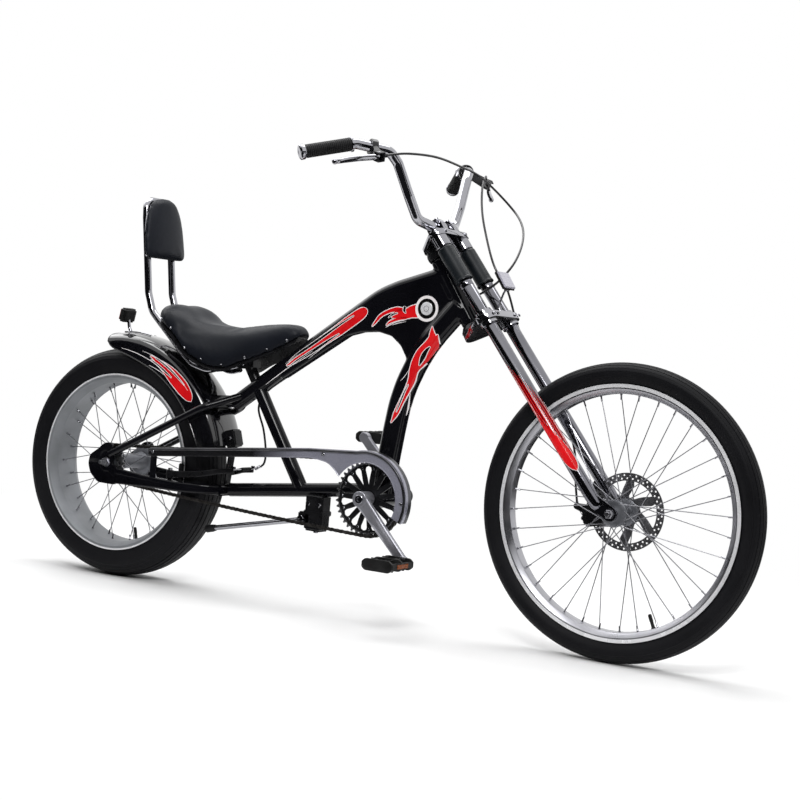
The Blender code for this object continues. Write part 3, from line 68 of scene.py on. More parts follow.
AXLE_AHEAD = 15.9
CRANK_LENGTH = 165
RING_TEETH = 40
COG_TEETH = 20
LINKS = 142
BIKE = Matrix.Translation((-0.648, 0, 0)) @ Matrix.Scale(0.001, 4)
SIDES = (("right", -1), ("left", 1))

# %% [markdown]
# ## The camera comes first
# The camera was solved from the photograph: both wheels, the axles, the crank and the bars fix where it
# stood. It looks from the right and the front, a little rolled. It is a plain lens with no shift and no
# blur, so other views can move it without surprises.

# %% Camera
def added(name, data):
    """A new object in the scene."""
    obj = bpy.data.objects.new(name, data)
    bpy.context.scene.collection.objects.link(obj)
    return obj


def place_camera(position, yaw, pitch, roll, focal_pixels):
    """Builds the camera's axes from its yaw, pitch and roll in degrees."""
    yaw, pitch, roll = (math.radians(angle) for angle in (yaw, pitch, roll))
    ahead = Vector((-math.sin(yaw) * math.cos(pitch), math.cos(yaw) * math.cos(pitch),
                    math.sin(pitch)))
    right = Vector((math.cos(yaw), math.sin(yaw), 0))
    up = right.cross(ahead)
    across = right * math.cos(roll) + up * math.sin(roll)
    upward = up * math.cos(roll) - right * math.sin(roll)
    data = bpy.data.cameras.new("studio_camera")
    data.sensor_width = 36
    data.lens = focal_pixels * 36 / 800
    data.clip_end = 60
    camera = added("studio_camera", data)
    turn = Matrix((across, upward, -ahead)).transposed().to_4x4()
    camera.matrix_world = Matrix.Translation(position) @ turn
    bpy.context.scene.camera = camera


place_camera((1.92817, -3.2228, 0.62049), 29.7896, -2.1184, 4.8373, 1716.41)
print("lens", round(bpy.context.scene.camera.data.lens, 2), "mm")

# %% [markdown]
# ## Sums on sockets
# A finish or a geometry tree is easier to read as a sum than as a row of Math nodes. This small class
# holds one output socket. Adding or multiplying it adds the Math node that does so, also when the plain
# number stands on the left. The bench makes any other node from its type, its settings and its inputs.

# %% Wires and benches
def connect(tree, value, socket):
    if isinstance(value, Wire):
        tree.links.new(value.socket, socket)
    elif value is not None:
        socket.default_value = value


class Wire:
    """One output of a node, on which sums can be written."""

    def __init__(self, tree, socket):
        self.tree = tree
        self.socket = socket

    def sum(self, operation, *values, clamp=False):
        node = self.tree.nodes.new("ShaderNodeMath")
        node.operation = operation
        node.use_clamp = clamp
        for value, socket in zip(values, node.inputs):
            connect(self.tree, value, socket)
        return Wire(self.tree, node.outputs[0])

    def __add__(self, other):
        return self.sum("ADD", self, other)

    def __radd__(self, other):
        return self.sum("ADD", other, self)

    def __sub__(self, other):
        return self.sum("SUBTRACT", self, other)

    def __rsub__(self, other):
        return self.sum("SUBTRACT", other, self)

    def __mul__(self, other):
        return self.sum("MULTIPLY", self, other)

    def __rmul__(self, other):
        return self.sum("MULTIPLY", other, self)

    def __truediv__(self, other):
        return self.sum("DIVIDE", self, other)

    def __mod__(self, other):
        return self.sum("FLOORED_MODULO", self, other)

    def __abs__(self):
        return self.sum("ABSOLUTE", self)

    def sine(self):
        return self.sum("SINE", self)

    def cosine(self):
        return self.sum("COSINE", self)

    def over(self, edge, width):
        """0 below the edge, 1 above it, with a ramp of that width."""
        return self.sum("MULTIPLY_ADD", self, 1 / width, 0.5 - edge / width, clamp=True)


class Bench:
    """Makes nodes in one tree."""

    def __init__(self, tree):
        self.tree = tree

    def node(self, kind, settings=None, **inputs):
        node = self.tree.nodes.new(kind)
        for name, value in (settings or {}).items():
            setattr(node, name, value)
        return self.feed(node, **inputs)

    def feed(self, node, **inputs):
        """Sets or links inputs by name, with an underscore for each space."""
        for name, value in inputs.items():
            connect(self.tree, value, node.inputs[name.replace("_", " ")])
        return node

    def feed_rows(self, node, *pairs):
        """Sets or links inputs by number, where several share a name."""
        for number, value in pairs:
            connect(self.tree, value, node.inputs[number])
        return node

    def out(self, node, name=0):
        return Wire(self.tree, node.outputs[name])

    def split(self, spot):
        """The x, y and z of a vector."""
        axes = self.node("ShaderNodeSeparateXYZ", Vector=spot)
        return [self.out(axes, number) for number in range(3)]

    def white_rays(self):
        """1 for what the camera, a mirror or a glass sees, and 0 for light that falls on things."""
        path = self.node("ShaderNodeLightPath")
        seen = (self.out(path, "Is Camera Ray") + self.out(path, "Is Glossy Ray")
                + self.out(path, "Is Transmission Ray"))
        return seen.sum("MINIMUM", seen, 1.0)


print("sums on sockets ready")

# %% [markdown]
# ## Finishes
# Real finishes are never one flat value. Paint has a faint orange peel, chrome picks up wipe marks,
# rubber is blotchy with dust and moulded plastic is grained. Each could be painted by hand or taken from
# a picture. Noise on Object coordinates is used here, because every piece keeps its place in its mesh,
# so the pattern stays put when a piece turns with its body. One maker lays down what all finishes share.

# %% One maker for the plain finishes
def new_finish(name, metallic, coat=0.0, coat_roughness=0.05, specular=0.5):
    finish = bpy.data.materials.new(name)
    finish.use_nodes = True
    bench = Bench(finish.node_tree)
    shader = finish.node_tree.nodes["Principled BSDF"]
    bench.feed(shader, Metallic=metallic, Coat_Weight=coat, Coat_Roughness=coat_roughness,
               Specular_IOR_Level=specular)
    spot = bench.out(bench.node("ShaderNodeTexCoord"), "Object")
    return finish, bench, shader, spot


def noise(bench, spot, scale, detail=3.0, stretch=None):
    if stretch is not None:
        spot = bench.out(bench.node("ShaderNodeMapping", Vector=spot, Scale=stretch))
    made = bench.node("ShaderNodeTexNoise", Vector=spot, Scale=scale, Detail=detail)
    return bench.out(made, "Fac")


def colour_mix(bench, share, low, high):
    if not isinstance(high, Wire):
        high = (*high, 1)
    made = bench.node("ShaderNodeMix", {"data_type": "RGBA"})
    return bench.out(bench.feed_rows(made, (0, share), (6, (*low, 1)), (7, high)), 2)


def bump(bench, height, strength, depth):
    made = bench.node("ShaderNodeBump", Height=height, Strength=strength, Distance=depth)
    return bench.out(made)


def plain_finish(name, low, high, rough, metallic=0.0, coat=0.0, blotch=14.0, grain=900.0,
                 depth=0.00004, stretch=None, specular=0.5):
    """Blotches between two colours and two roughnesses, with a fine grain in the surface."""
    finish, bench, shader, spot = new_finish(name, metallic, coat, specular=specular)
    wide = noise(bench, spot, blotch, 4.0).over(0.5, 0.5)
    fine = noise(bench, spot, grain, 2.0, stretch)
    bench.feed(shader, Base_Color=colour_mix(bench, wide, low, high),
               Roughness=rough[0] + wide * (rough[1] - rough[0]) + fine * 0.04 - 0.02,
               Normal=bump(bench, fine, 0.6, depth))
    finish.diffuse_color = (*high, 1)
    return finish


BLACK_PAINT = plain_finish("gloss_black_paint", (0.002, 0.002, 0.003), (0.006, 0.006, 0.008),
                           (0.07, 0.13), coat=0.12, blotch=6, grain=260, depth=0.00001,
                           specular=0.16)
# The base colour is set darker than bare chrome reflects: a painted dark reflection over the plate.
CHROME = plain_finish("chrome_plate_painted_dark_reflection", (0.33, 0.33, 0.355), (0.46, 0.46, 0.49), (0.05, 0.12), 1.0,
                      blotch=9, grain=500, depth=0.000004)
SATIN_ALLOY = plain_finish("satin_alloy", (0.34, 0.34, 0.365), (0.47, 0.47, 0.50), (0.24, 0.36), 1.0,
                           blotch=20, grain=700, depth=0.00001)
GREY_RIM = plain_finish("matt_grey_rim", (0.19, 0.20, 0.21), (0.27, 0.28, 0.30), (0.42, 0.55), 0.35,
                        blotch=18, grain=1200, depth=0.00002)
BLACK_STEEL = plain_finish("black_steel_finish", (0.006, 0.006, 0.007), (0.016, 0.016, 0.018),
                           (0.22, 0.36), 0.3, blotch=30, grain=1100, depth=0.00003, specular=0.3)
DARK_CHAIN = plain_finish("oiled_chain", (0.020, 0.018, 0.017), (0.075, 0.070, 0.066), (0.28, 0.5),
                          0.75, blotch=160, grain=1500, depth=0.00003)
RUBBER = plain_finish("grip_rubber_finish", (0.005, 0.005, 0.006), (0.012, 0.012, 0.013),
                      (0.45, 0.62), blotch=40, grain=1600, depth=0.00008, specular=0.25)
SATIN_BLACK = plain_finish("satin_black_sleeve", (0.004, 0.006, 0.008), (0.009, 0.012, 0.015),
                           (0.30, 0.40), blotch=30, grain=1500, depth=0.00002, specular=0.3)
BLACK_PLASTIC = plain_finish("moulded_black_plastic", (0.006, 0.006, 0.006), (0.016, 0.016, 0.016),
                             (0.35, 0.52), blotch=35, grain=1700, depth=0.00006, specular=0.25)
RED_INK = plain_finish("red_decal", (0.62, 0.004, 0.008), (0.80, 0.012, 0.016), (0.12, 0.2),
                       coat=0.15, blotch=22, grain=300, depth=0.00001, specular=0.2)
WHITE_INK = plain_finish("white_decal", (0.80, 0.75, 0.76), (0.92, 0.89, 0.89), (0.15, 0.25),
                         coat=0.1, blotch=40, grain=300, depth=0.00001, specular=0.2)
BLACK_INK = plain_finish("black_decal", (0.003, 0.003, 0.003), (0.007, 0.007, 0.007), (0.15, 0.25),
                         coat=0.1, blotch=40, grain=300, depth=0.00001, specular=0.15)
print("plain finishes:", len(bpy.data.materials))

# %% [markdown]
# The guard is lacquered silver with a painted dark reflection that takes it nearly black towards its
# tail, the lenses are moulded in small prisms and the seat's vinyl is pebbled. These finishes add one
# pattern
# each to what the maker does: a ramp along the bike, or cells that stand for prisms and vinyl grain.

# %% Finishes with a pattern of their own
def guard_finish():
    finish, bench, shader, spot = new_finish("silver_lacquer_painted_dark_reflection", 0.35, 0.4)
    # The ramp paints the rear of the guard nearly black: a painted dark reflection on the silver.
    painted_reflection_ramp = bench.split(spot)[0].over(-0.17, 0.13)
    speck = noise(bench, spot, 900, 2)
    wide = noise(bench, spot, 16, 4)
    silver = colour_mix(bench, wide, (0.27, 0.27, 0.33), (0.36, 0.36, 0.43))
    bench.feed(shader, Base_Color=colour_mix(bench, painted_reflection_ramp, (0.012, 0.012, 0.014), silver),
               Roughness=0.22 + speck * 0.12, Normal=bump(bench, speck, 0.5, 0.00001))
    return finish


def lens_finish(name, low, high, cell):
    finish, bench, shader, spot = new_finish(name, 0.0, 0.8)
    prisms = bench.node("ShaderNodeTexVoronoi", {"distance": "CHEBYCHEV"}, Vector=spot, Scale=cell,
                        Randomness=0.0)
    height = bench.out(prisms, "Distance")
    # The colour follows the prism relief, darker at each cell's middle and paler at its edges: painted
    # shading of the facets.
    bench.feed(shader, Base_Color=colour_mix(bench, height, low, high),
               Roughness=0.12 + height * 0.25, Normal=bump(bench, height, 0.7, 0.0006))
    return finish


def vinyl_finish():
    """Soft black vinyl: a pebbled grain with fine creases, and a faint blue sheen painted into its base
    colour.
    """
    finish, bench, shader, spot = new_finish("black_vinyl_cover", 0.0, 0.04, 0.3, specular=0.16)
    pebbles = bench.out(bench.node("ShaderNodeTexVoronoi", {"feature": "SMOOTH_F1"}, Vector=spot,
                                   Scale=620.0), "Distance")
    crease = noise(bench, spot, 34, 6)
    wide = noise(bench, spot, 9, 3)
    bench.feed(shader, Base_Color=colour_mix(bench, wide, (0.004, 0.005, 0.008), (0.010, 0.012, 0.018)),
               Roughness=0.36 + wide * 0.14 + pebbles * 0.06,
               Normal=bump(bench, pebbles * 0.35 + crease * 0.65, 0.35, 0.0004))
    return finish


GUARD_SILVER_PAINTED_REFLECTION = guard_finish()
CLEAR_LENS = lens_finish("clear_prism_lens", (0.30, 0.29, 0.36), (0.62, 0.61, 0.70), 240.0)
RED_LENS = lens_finish("red_prism_lens", (0.30, 0.004, 0.004), (0.62, 0.02, 0.015), 240.0)
AMBER_LENS = lens_finish("amber_prism_lens", (0.16, 0.03, 0.004), (0.42, 0.11, 0.012), 300.0)
VINYL = vinyl_finish()
# A pale metal. The badge's bright middle has this colour of its own; the thin rings on the rims use it as
# a painted highlight.
PALE_METAL_AND_PAINTED_HIGHLIGHT = plain_finish("pale_metal_and_painted_rim_highlight", (0.74, 0.74, 0.76), (0.88, 0.88, 0.90), (0.22, 0.32), 0.3,
                           blotch=20, grain=600, depth=0.00001)
HUB_ALLOY = plain_finish("dull_hub_alloy", (0.12, 0.125, 0.14), (0.22, 0.225, 0.245), (0.38, 0.5), 0.6,
                         blotch=30, grain=700, depth=0.00002)
# A dark metal for the chain guard's rolled edge and ring wall: the dark band there is painted dark
# reflection on bright metal.
DARK_ALLOY_FOR_PAINTED_REFLECTION = plain_finish("dark_alloy_for_painted_reflection", (0.05, 0.05, 0.055), (0.12, 0.12, 0.13), (0.25, 0.4), 0.9,
                          blotch=30, grain=700, depth=0.00001)
MUDGUARD_PAINT = plain_finish("mudguard_black_lacquer", (0.002, 0.002, 0.003), (0.006, 0.006, 0.008),
                              (0.10, 0.17), coat=0.9, blotch=6, grain=260, depth=0.00001)
print("finishes in all:", len(bpy.data.materials))

# %% [markdown]
# ## Shapes
# A bicycle is made of a few kinds of shape: turned parts, bent tubes, stamped plates, forged arms with
# changing sections, and bars between circles. A modeller could push these about by hand, but each is a
# rule with a few numbers, so a function for each kind keeps a piece to one or two lines.

# %% Turned, bent and stamped shapes
def circle(x, z, radius, sides=24):
    return [(x + radius * math.cos(2 * math.pi * i / sides),
             z + radius * math.sin(2 * math.pi * i / sides)) for i in range(sides)]


def rounded(profile, size, steps=3, closed=True):
    """Rounds the corners of a flat outline."""
    points = [Vector((a, b, 0)) for a, b in profile]
    out = []
    count = len(points)
    for i, point in enumerate(points):
        if not closed and i in (0, count - 1):
            out.append((point.x, point.y))
            continue
        before = points[i - 1] - point
        after = points[(i + 1) % count] - point
        reach = min(size, before.length * 0.45, after.length * 0.45)
        first = point + before.normalized() * reach
        last = point + after.normalized() * reach
        for k in range(steps + 1):
            t = k / steps
            spot = first * (1 - t) ** 2 + point * 2 * t * (1 - t) + last * t ** 2
            out.append((spot.x, spot.y))
    return out


def turned(profile, steps=48, axis="Y", closed=False):
    """Spins (radius, height) points about the axis. A closed profile makes a ring."""
    bm = bmesh.new()
    rows = []
    for i in range(steps):
        angle = 2 * math.pi * i / steps
        c = math.cos(angle)
        s = math.sin(angle)
        rows.append([bm.verts.new((r * c, h, r * s) if axis == "Y" else (r * c, r * s, h))
                     for r, h in profile])
    length = len(profile)
    for low, high in zip(rows, rows[1:] + rows[:1]):
        for j in range(length if closed else length - 1):
            k = (j + 1) % length
            bm.faces.new((low[j], low[k], high[k], high[j]))
    bmesh.ops.remove_doubles(bm, verts=bm.verts, dist=0.001)
    bmesh.ops.dissolve_degenerate(bm, dist=0.0005, edges=bm.edges)
    bmesh.ops.recalc_face_normals(bm, faces=bm.faces)
    return bm


def skinned(bm, rows):
    """Faces between rows of vertices that close on themselves."""
    for low, high in zip(rows, rows[1:]):
        for i in range(len(low)):
            j = (i + 1) % len(low)
            bm.faces.new((low[i], low[j], high[j], high[i]))


def loft(rings):
    """A closed body through rings of points."""
    bm = bmesh.new()
    rows = [[bm.verts.new(point) for point in ring] for ring in rings]
    skinned(bm, rows)
    bm.faces.new(rows[0][::-1])
    bm.faces.new(rows[-1])
    bmesh.ops.recalc_face_normals(bm, faces=bm.faces)
    return bm


def pipe(path, radius, sides=20, radii=None):
    """A round bar along a path. The section is carried along without twisting."""
    path = [Vector(point) for point in path]
    ways = [(after - before).normalized()
            for before, after in zip(path[:1] + path[:-1], path[1:] + path[-1:])]
    side = ways[0].orthogonal().normalized()
    rings = []
    for point, way, reach in zip(path, ways, radii or [radius] * len(path)):
        side = (side - way * side.dot(way)).normalized()
        other = way.cross(side)
        rings.append([point + (side * math.cos(2 * math.pi * k / sides)
                               + other * math.sin(2 * math.pi * k / sides)) * reach
                      for k in range(sides)])
    return loft(rings)


def plate(outline, near, far, holes=(), lie="Y", bevel=0.0):
    """A flat stamping with holes, across the named axis, with eased edges."""
    bm = bmesh.new()
    edges = []
    for loop in (outline, *holes):
        verts = [bm.verts.new((a, near, b) if lie == "Y" else (a, b, near)) for a, b in loop]
        edges += [bm.edges.new(pair) for pair in zip(verts, verts[1:] + verts[:1])]
    bmesh.ops.triangle_fill(bm, use_beauty=True, edges=edges)
    step = (0, far - near, 0) if lie == "Y" else (0, 0, far - near)
    grown = bmesh.ops.extrude_face_region(bm, geom=bm.faces[:])
    lid = [item for item in grown["geom"] if isinstance(item, bmesh.types.BMVert)]
    bmesh.ops.translate(bm, vec=step, verts=lid)
    bmesh.ops.recalc_face_normals(bm, faces=bm.faces)
    if bevel:
        sharp = [e for e in bm.edges if e.is_manifold and e.calc_face_angle(0) > math.radians(40)]
        bmesh.ops.bevel(bm, geom=sharp, offset=bevel, segments=2, affect="EDGES", profile=0.6,
                        clamp_overlap=True)
    return bm


def moved(bm, place):
    """The shape put in its place, by a matrix or by a plain shift."""
    if not isinstance(place, Matrix):
        place = Matrix.Translation(place)
    bmesh.ops.transform(bm, matrix=place, verts=bm.verts)
    return bm


def block(centre, size, bevel=1.0, turn=Matrix.Identity(4), segments=2):
    bm = bmesh.new()
    bmesh.ops.create_cube(bm, size=1)
    bmesh.ops.scale(bm, vec=size, verts=bm.verts)
    bmesh.ops.bevel(bm, geom=bm.edges[:], offset=bevel, segments=segments, affect="EDGES")
    return moved(bm, Matrix.Translation(centre) @ turn)


def hull(circles, sides=32):
    """The taut outline around circles (x, z, radius)."""
    points = sorted(point for x, z, radius in circles for point in circle(x, z, radius, sides))

    def half(ordered):
        chain = []
        for point in ordered:
            while len(chain) > 1:
                ax, az = chain[-2]
                bx, bz = chain[-1]
                if (bx - ax) * (point[1] - az) - (bz - az) * (point[0] - ax) > 1e-6:
                    break
                chain.pop()
            chain.append(point)
        return chain[:-1]
    return half(points) + half(points[::-1])


def rod(start, end, radius, sides=24, bevel=0.6):
    """A round pin with eased ends."""
    start = Vector(start)
    end = Vector(end)
    way = (end - start).normalized()
    cut = min(bevel, radius * 0.5)
    path = [start, start + way * cut, end - way * cut, end]
    return pipe(path, radius, sides, [radius - cut, radius, radius, radius - cut])


def joined(*shapes):
    whole = bmesh.new()
    for shape in shapes:
        mesh = bpy.data.meshes.new("joined")
        shape.to_mesh(mesh)
        shape.free()
        whole.from_mesh(mesh)
        bpy.data.meshes.remove(mesh)
    return whole


print("shape makers ready")

# %% [markdown]
# Tubes and cables follow paths. A bent tube is straight between arcs of one radius, because the bender
# has one die. A cable has no corners at all, so a smooth curve runs through given points.

# %% Paths
def bent_path(corners, bend, steps=8):
    """Straight runs joined by arcs of the bend radius."""
    corners = [Vector(corner) for corner in corners]
    path = [corners[0]]
    for before, corner, after in zip(corners, corners[1:], corners[2:]):
        back = (before - corner).normalized()
        ahead = (after - corner).normalized()
        turn = math.pi - back.angle(ahead)
        if turn < 0.02:
            path.append(corner)
            continue
        room = 0.48 * min((before - corner).length, (after - corner).length)
        radius = min(bend, room / math.tan(turn / 2))
        reach = radius * math.tan(turn / 2)
        centre = corner + (back + ahead).normalized() * radius / math.cos(turn / 2)
        first = corner + back * reach - centre
        last = corner + ahead * reach - centre
        for i in range(steps + 1):
            share = i / steps
            arm = first * math.sin((1 - share) * turn) + last * math.sin(share * turn)
            path.append(centre + arm / math.sin(turn))
    path.append(corners[-1])
    return path


def curve_through(points, per=None, step=None):
    """A smooth curve through the points, with a fixed count of steps from each point to the next, or
    with steps of about one length."""
    points = [Vector(point) for point in points]
    ends = [2 * points[0] - points[1]] + points + [2 * points[-1] - points[-2]]
    path = []
    for a, b, c, d in zip(ends, ends[1:], ends[2:], ends[3:]):
        count = per or max(1, round((c - b).length / step))
        for i in range(count):
            t = i / count
            path.append(0.5 * (2 * b + (c - a) * t + (2 * a - 5 * b + 4 * c - d) * t ** 2
                               + (3 * b - 3 * c + d - a) * t ** 3))
    return path + [points[-1]]


def mirrored(points, side):
    return [(x, y * side, z) for x, y, z in points]


print("a quarter bend has", len(bent_path([(0, 0, 0), (50, 0, 0), (50, 50, 0)], 20)), "points")

# %% [markdown]
# A finished piece is placed, given its finish and told which moving body carries it. The CAD nodes that
# it stands for are hidden. Its object stays at the origin, so patterns on Object coordinates hold still.

# %% Placing a piece
MADE = {}


def place_mesh(name, mesh, finish, body, stands_for=(), sharp=35):
    if finish is not None:
        mesh.materials.append(finish)
    mesh.shade_smooth()
    mesh.set_sharp_from_angle(angle=math.radians(sharp))
    obj = added(name, mesh)
    if body:
        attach(obj, body)
    if stands_for:
        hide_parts(*stands_for)
    MADE[name] = len(mesh.polygons)
    print(f"{name}: {len(mesh.polygons)} faces on {body or 'two bodies'}")
    return obj


def piece(name, bm, finish, body, stands_for=(), matrix=Matrix.Identity(4), sharp=35):
    """Turns a shape in millimetres into a named piece in the shared frame."""
    mesh = bpy.data.meshes.new(name)
    moved(bm, BIKE @ matrix).to_mesh(mesh)
    bm.free()
    return place_mesh(name, mesh, finish, body, stands_for, sharp)


def steer_turn():
    return Matrix.Rotation(-math.radians(STEER_ANGLE), 4, "Y")


def leg_matrix(side):
    """Leg coordinates have z up the leg and their origin level with the crown."""
    place = Matrix.Translation((CROWN_AHEAD, side * LEG_SPREAD, 0))
    return place @ Matrix.Rotation(-math.radians(LEG_LEAN), 4, "Y")


AXLE_IN_STEER = leg_matrix(0) @ Vector((AXLE_AHEAD, 0, -LEG_REACH))
HEAD = Matrix.Translation(FRONT_AXLE - steer_turn() @ AXLE_IN_STEER) @ steer_turn()
UNHEAD = HEAD.inverted()
WHEEL_AT = {"front": Matrix.Translation(FRONT_AXLE), "rear": Matrix.Translation(REAR_AXLE)}
print("steering axis starts at", [round(v, 2) for v in HEAD.translation])

# %% [markdown]
# ## Patterns with Geometry Nodes
# Nipples, bolts, rivets and chain links are one small shape many times. Copying by hand would freeze the
# count. A tree built here takes the small shape, a count, a radius and a start angle as named inputs,
# so one tree serves every ring of copies round an axle. Its result is kept as a plain mesh.

# %% Trees and what runs them
def new_tree(name, inputs):
    tree = bpy.data.node_groups.new(name, "GeometryNodeTree")
    tree.interface.new_socket("Geometry", in_out="INPUT", socket_type="NodeSocketGeometry")
    for label, kind in inputs:
        tree.interface.new_socket(label, in_out="INPUT", socket_type="NodeSocket" + kind)
    tree.interface.new_socket("Geometry", in_out="OUTPUT", socket_type="NodeSocketGeometry")
    bench = Bench(tree)
    entry = bench.node("NodeGroupInput")
    return tree, bench, lambda label: Wire(tree, entry.outputs[label])


def finish_tree(bench, instances, material):
    real = bench.node("GeometryNodeRealizeInstances", Geometry=instances)
    coated = bench.node("GeometryNodeSetMaterial", Geometry=bench.out(real), Material=material)
    bench.node("NodeGroupOutput", Geometry=bench.out(coated))


def baked(host):
    """The object with its modifiers, kept as a plain mesh. The object itself goes."""
    graph = bpy.context.evaluated_depsgraph_get()
    mesh = bpy.data.meshes.new_from_object(host.evaluated_get(graph))
    bpy.data.objects.remove(host)
    return mesh


def run_tree(tree, values, host_mesh=None):
    """Puts the tree on a host, sets its inputs and keeps the result as a plain mesh."""
    host = added("host", host_mesh or bpy.data.meshes.new("host"))
    modifier = host.modifiers.new("pattern", "NODES")
    modifier.node_group = tree
    for socket in tree.interface.items_tree:
        if socket.in_out == "INPUT" and socket.name in values:
            modifier[socket.identifier] = values[socket.name]
    return baked(host)


def item(bm):
    """A small shape kept as an object for a tree to copy."""
    mesh = bpy.data.meshes.new("item")
    bm.to_mesh(mesh)
    bm.free()
    mesh.shade_smooth()
    mesh.set_sharp_from_angle(angle=math.radians(35))
    return added("item", mesh)


def scatter(bench, points, thing, **inputs):
    """Instances of the item on the points."""
    info = bench.node("GeometryNodeObjectInfo", Object=thing)
    copies = bench.node("GeometryNodeInstanceOnPoints", Points=points,
                        Instance=bench.out(info, "Geometry"), **inputs)
    return bench.out(copies)


def ring_tree():
    """Copies of one shape round the y axis. The shape's z axis points away from the axle."""
    tree, bench, given = new_tree("copies_round_an_axle", (
        ("Item", "Object"), ("Count", "Int"), ("Radius", "Float"), ("Across", "Float"),
        ("Start", "Float"), ("Material", "Material")))
    points = bench.node("GeometryNodeMeshLine", Count=given("Count"))
    turn = given("Start") + bench.out(bench.node("GeometryNodeInputIndex")) / given("Count")
    angle = turn * (2 * math.pi)
    spot = bench.node("ShaderNodeCombineXYZ", X=angle.sine() * given("Radius"), Y=given("Across"),
                      Z=angle.cosine() * given("Radius"))
    placed = bench.node("GeometryNodeSetPosition", Geometry=bench.out(points), Position=bench.out(spot))
    facing = bench.node("ShaderNodeCombineXYZ", Y=angle)
    finish_tree(bench, scatter(bench, bench.out(placed), given("Item"), Rotation=bench.out(facing)),
                given("Material"))
    return tree


def facing_tree():
    """Copies of one shape at the host's points, with z along the host's facing attribute."""
    tree, bench, given = new_tree("copies_at_marked_points", (("Item", "Object"),
                                                              ("Material", "Material")))
    facing = bench.node("GeometryNodeInputNamedAttribute", {"data_type": "FLOAT_VECTOR"},
                        Name="facing")
    turn = bench.node("FunctionNodeAlignRotationToVector", {"axis": "Z"}, Vector=bench.out(facing))
    finish_tree(bench, scatter(bench, given("Geometry"), given("Item"), Rotation=bench.out(turn)),
                given("Material"))
    return tree


RING_TREE = ring_tree()
FACING_TREE = facing_tree()


def tree_piece(name, tree, shape, values, finish, body, matrix=Matrix.Identity(4), host=None,
               stands_for=()):
    """Runs a tree on a shape and places what it makes as one piece."""
    thing = item(shape)
    mesh = run_tree(tree, {"Item": thing, "Material": finish, **values}, host)
    bpy.data.objects.remove(thing)
    mesh.name = name
    mesh.transform(BIKE @ matrix)
    return place_mesh(name, mesh, None, body, stands_for)


def ring_of(name, shape, count, radius, across, finish, body, matrix, start=0.0):
    """Places copies of a shape round an axle as one piece."""
    values = {"Count": count, "Radius": float(radius), "Across": float(across), "Start": float(start)}
    return tree_piece(name, RING_TREE, shape, values, finish, body, matrix)


def copies_at(name, shape, spots, finish, body, matrix=Matrix.Identity(4)):
    """Places copies of a shape at (point, direction) pairs as one piece."""
    host = bpy.data.meshes.new("spots")
    host.from_pydata([point for point, way in spots], [], [])
    facing = host.attributes.new("facing", "FLOAT_VECTOR", "POINT")
    for mark, (point, way) in zip(facing.data, spots):
        mark.vector = way
    return tree_piece(name, FACING_TREE, shape, {}, finish, body, matrix, host)


def hex_head(across, height):
    """A hexagon head with eased corners, standing on z = 0."""
    return turned([(0, 0), (across / 2, 0), (across / 2, height * 0.8), (across * 0.43, height),
                   (0, height)], 6, "Z")


def cap_screw(radius, height):
    """A socket screw: a round head with a sunk socket."""
    return turned([(0, 0), (radius, 0), (radius, height * 0.8), (radius * 0.85, height),
                   (radius * 0.5, height), (radius * 0.45, height * 0.5), (0, height * 0.5)], 14, "Z")


print("trees:", [tree.name for tree in bpy.data.node_groups])

# %% [markdown]
# ## Wheels
# A tyre could be a torus with a bump picture. Its section is drawn instead, with the bead line, the
# moulded wall rings and the tread grooves, and spun round the axle, so the edge against the sky is
# right as well. The cuts across the tread are too fine for that and stay in the finish.

# %% Tyres
def tyre_cuts(name, centre, radius, count, depth):
    """Rubber with slanted cuts across the tread and faint flow lines on the walls."""
    finish, bench, shader, spot = new_finish(name, 0.0, specular=0.14)
    x, y, z = bench.split(spot)
    x = x - centre.x
    z = z - centre.z
    away = x * x + z * z
    reach = away.sum("SQRT", away)
    turn = x.sum("ARCTAN2", z, x) * (count / (2 * math.pi))
    slant = (turn + abs(y) * 26.0) % 1.0
    cut = (1.0 - abs(slant - 0.5).over(0.045, 0.03)) * reach.over(radius - 0.0075, 0.001)
    wide = noise(bench, spot, 12, 4)
    fine = noise(bench, spot, 800, 2)
    bench.feed(shader, Base_Color=colour_mix(bench, wide, (0.003, 0.003, 0.004), (0.009, 0.009, 0.011)),
               Roughness=0.42 + wide * 0.2 + fine * 0.05,
               Normal=bump(bench, fine * 0.12 - cut, 0.8, depth))
    return finish


def tyre_section(radius, rim_radius, width, rim_width, details):
    """(radius, y) points of the section. Details are (degrees up the wall, height) rings."""
    middle = (radius + rim_radius) / 2 + 1.5
    rise = radius - middle
    half = width / 2
    bead = rim_width / 2 - 2.9
    base = rim_radius - 7
    marks = [(a, 0.0) for a in range(0, 91, 4)
             if all(abs(a - place) > 3 for place, height in details)]
    for place, height in details:
        marks += [(place - 2, 0.0), (place - 1.1, height), (place + 1.1, height), (place + 2, 0.0)]
    marks.sort()

    def wall(inset):
        outer = [(base, -bead + inset), (rim_radius + 1, -bead + inset)]
        for k in (0.25, 0.5, 0.75):
            bulge = math.sin(k * math.pi / 2)
            outer.append((rim_radius + 1 + (middle - rim_radius - 1) * k,
                          -bead + inset - (half - bead) * bulge))
        for a, height in marks:
            swell = height if not inset else 0.0
            c = math.cos(math.radians(a))
            s = math.sin(math.radians(a))
            outer.append((middle + (rise - inset + swell) * s, -(half - inset + swell) * c))
        return outer
    outer = wall(0)
    inner = wall(4)
    outer += [(r, -y) for r, y in outer[-2::-1]]
    inner += [(r, -y) for r, y in inner[-2::-1]]
    return outer + inner[::-1]


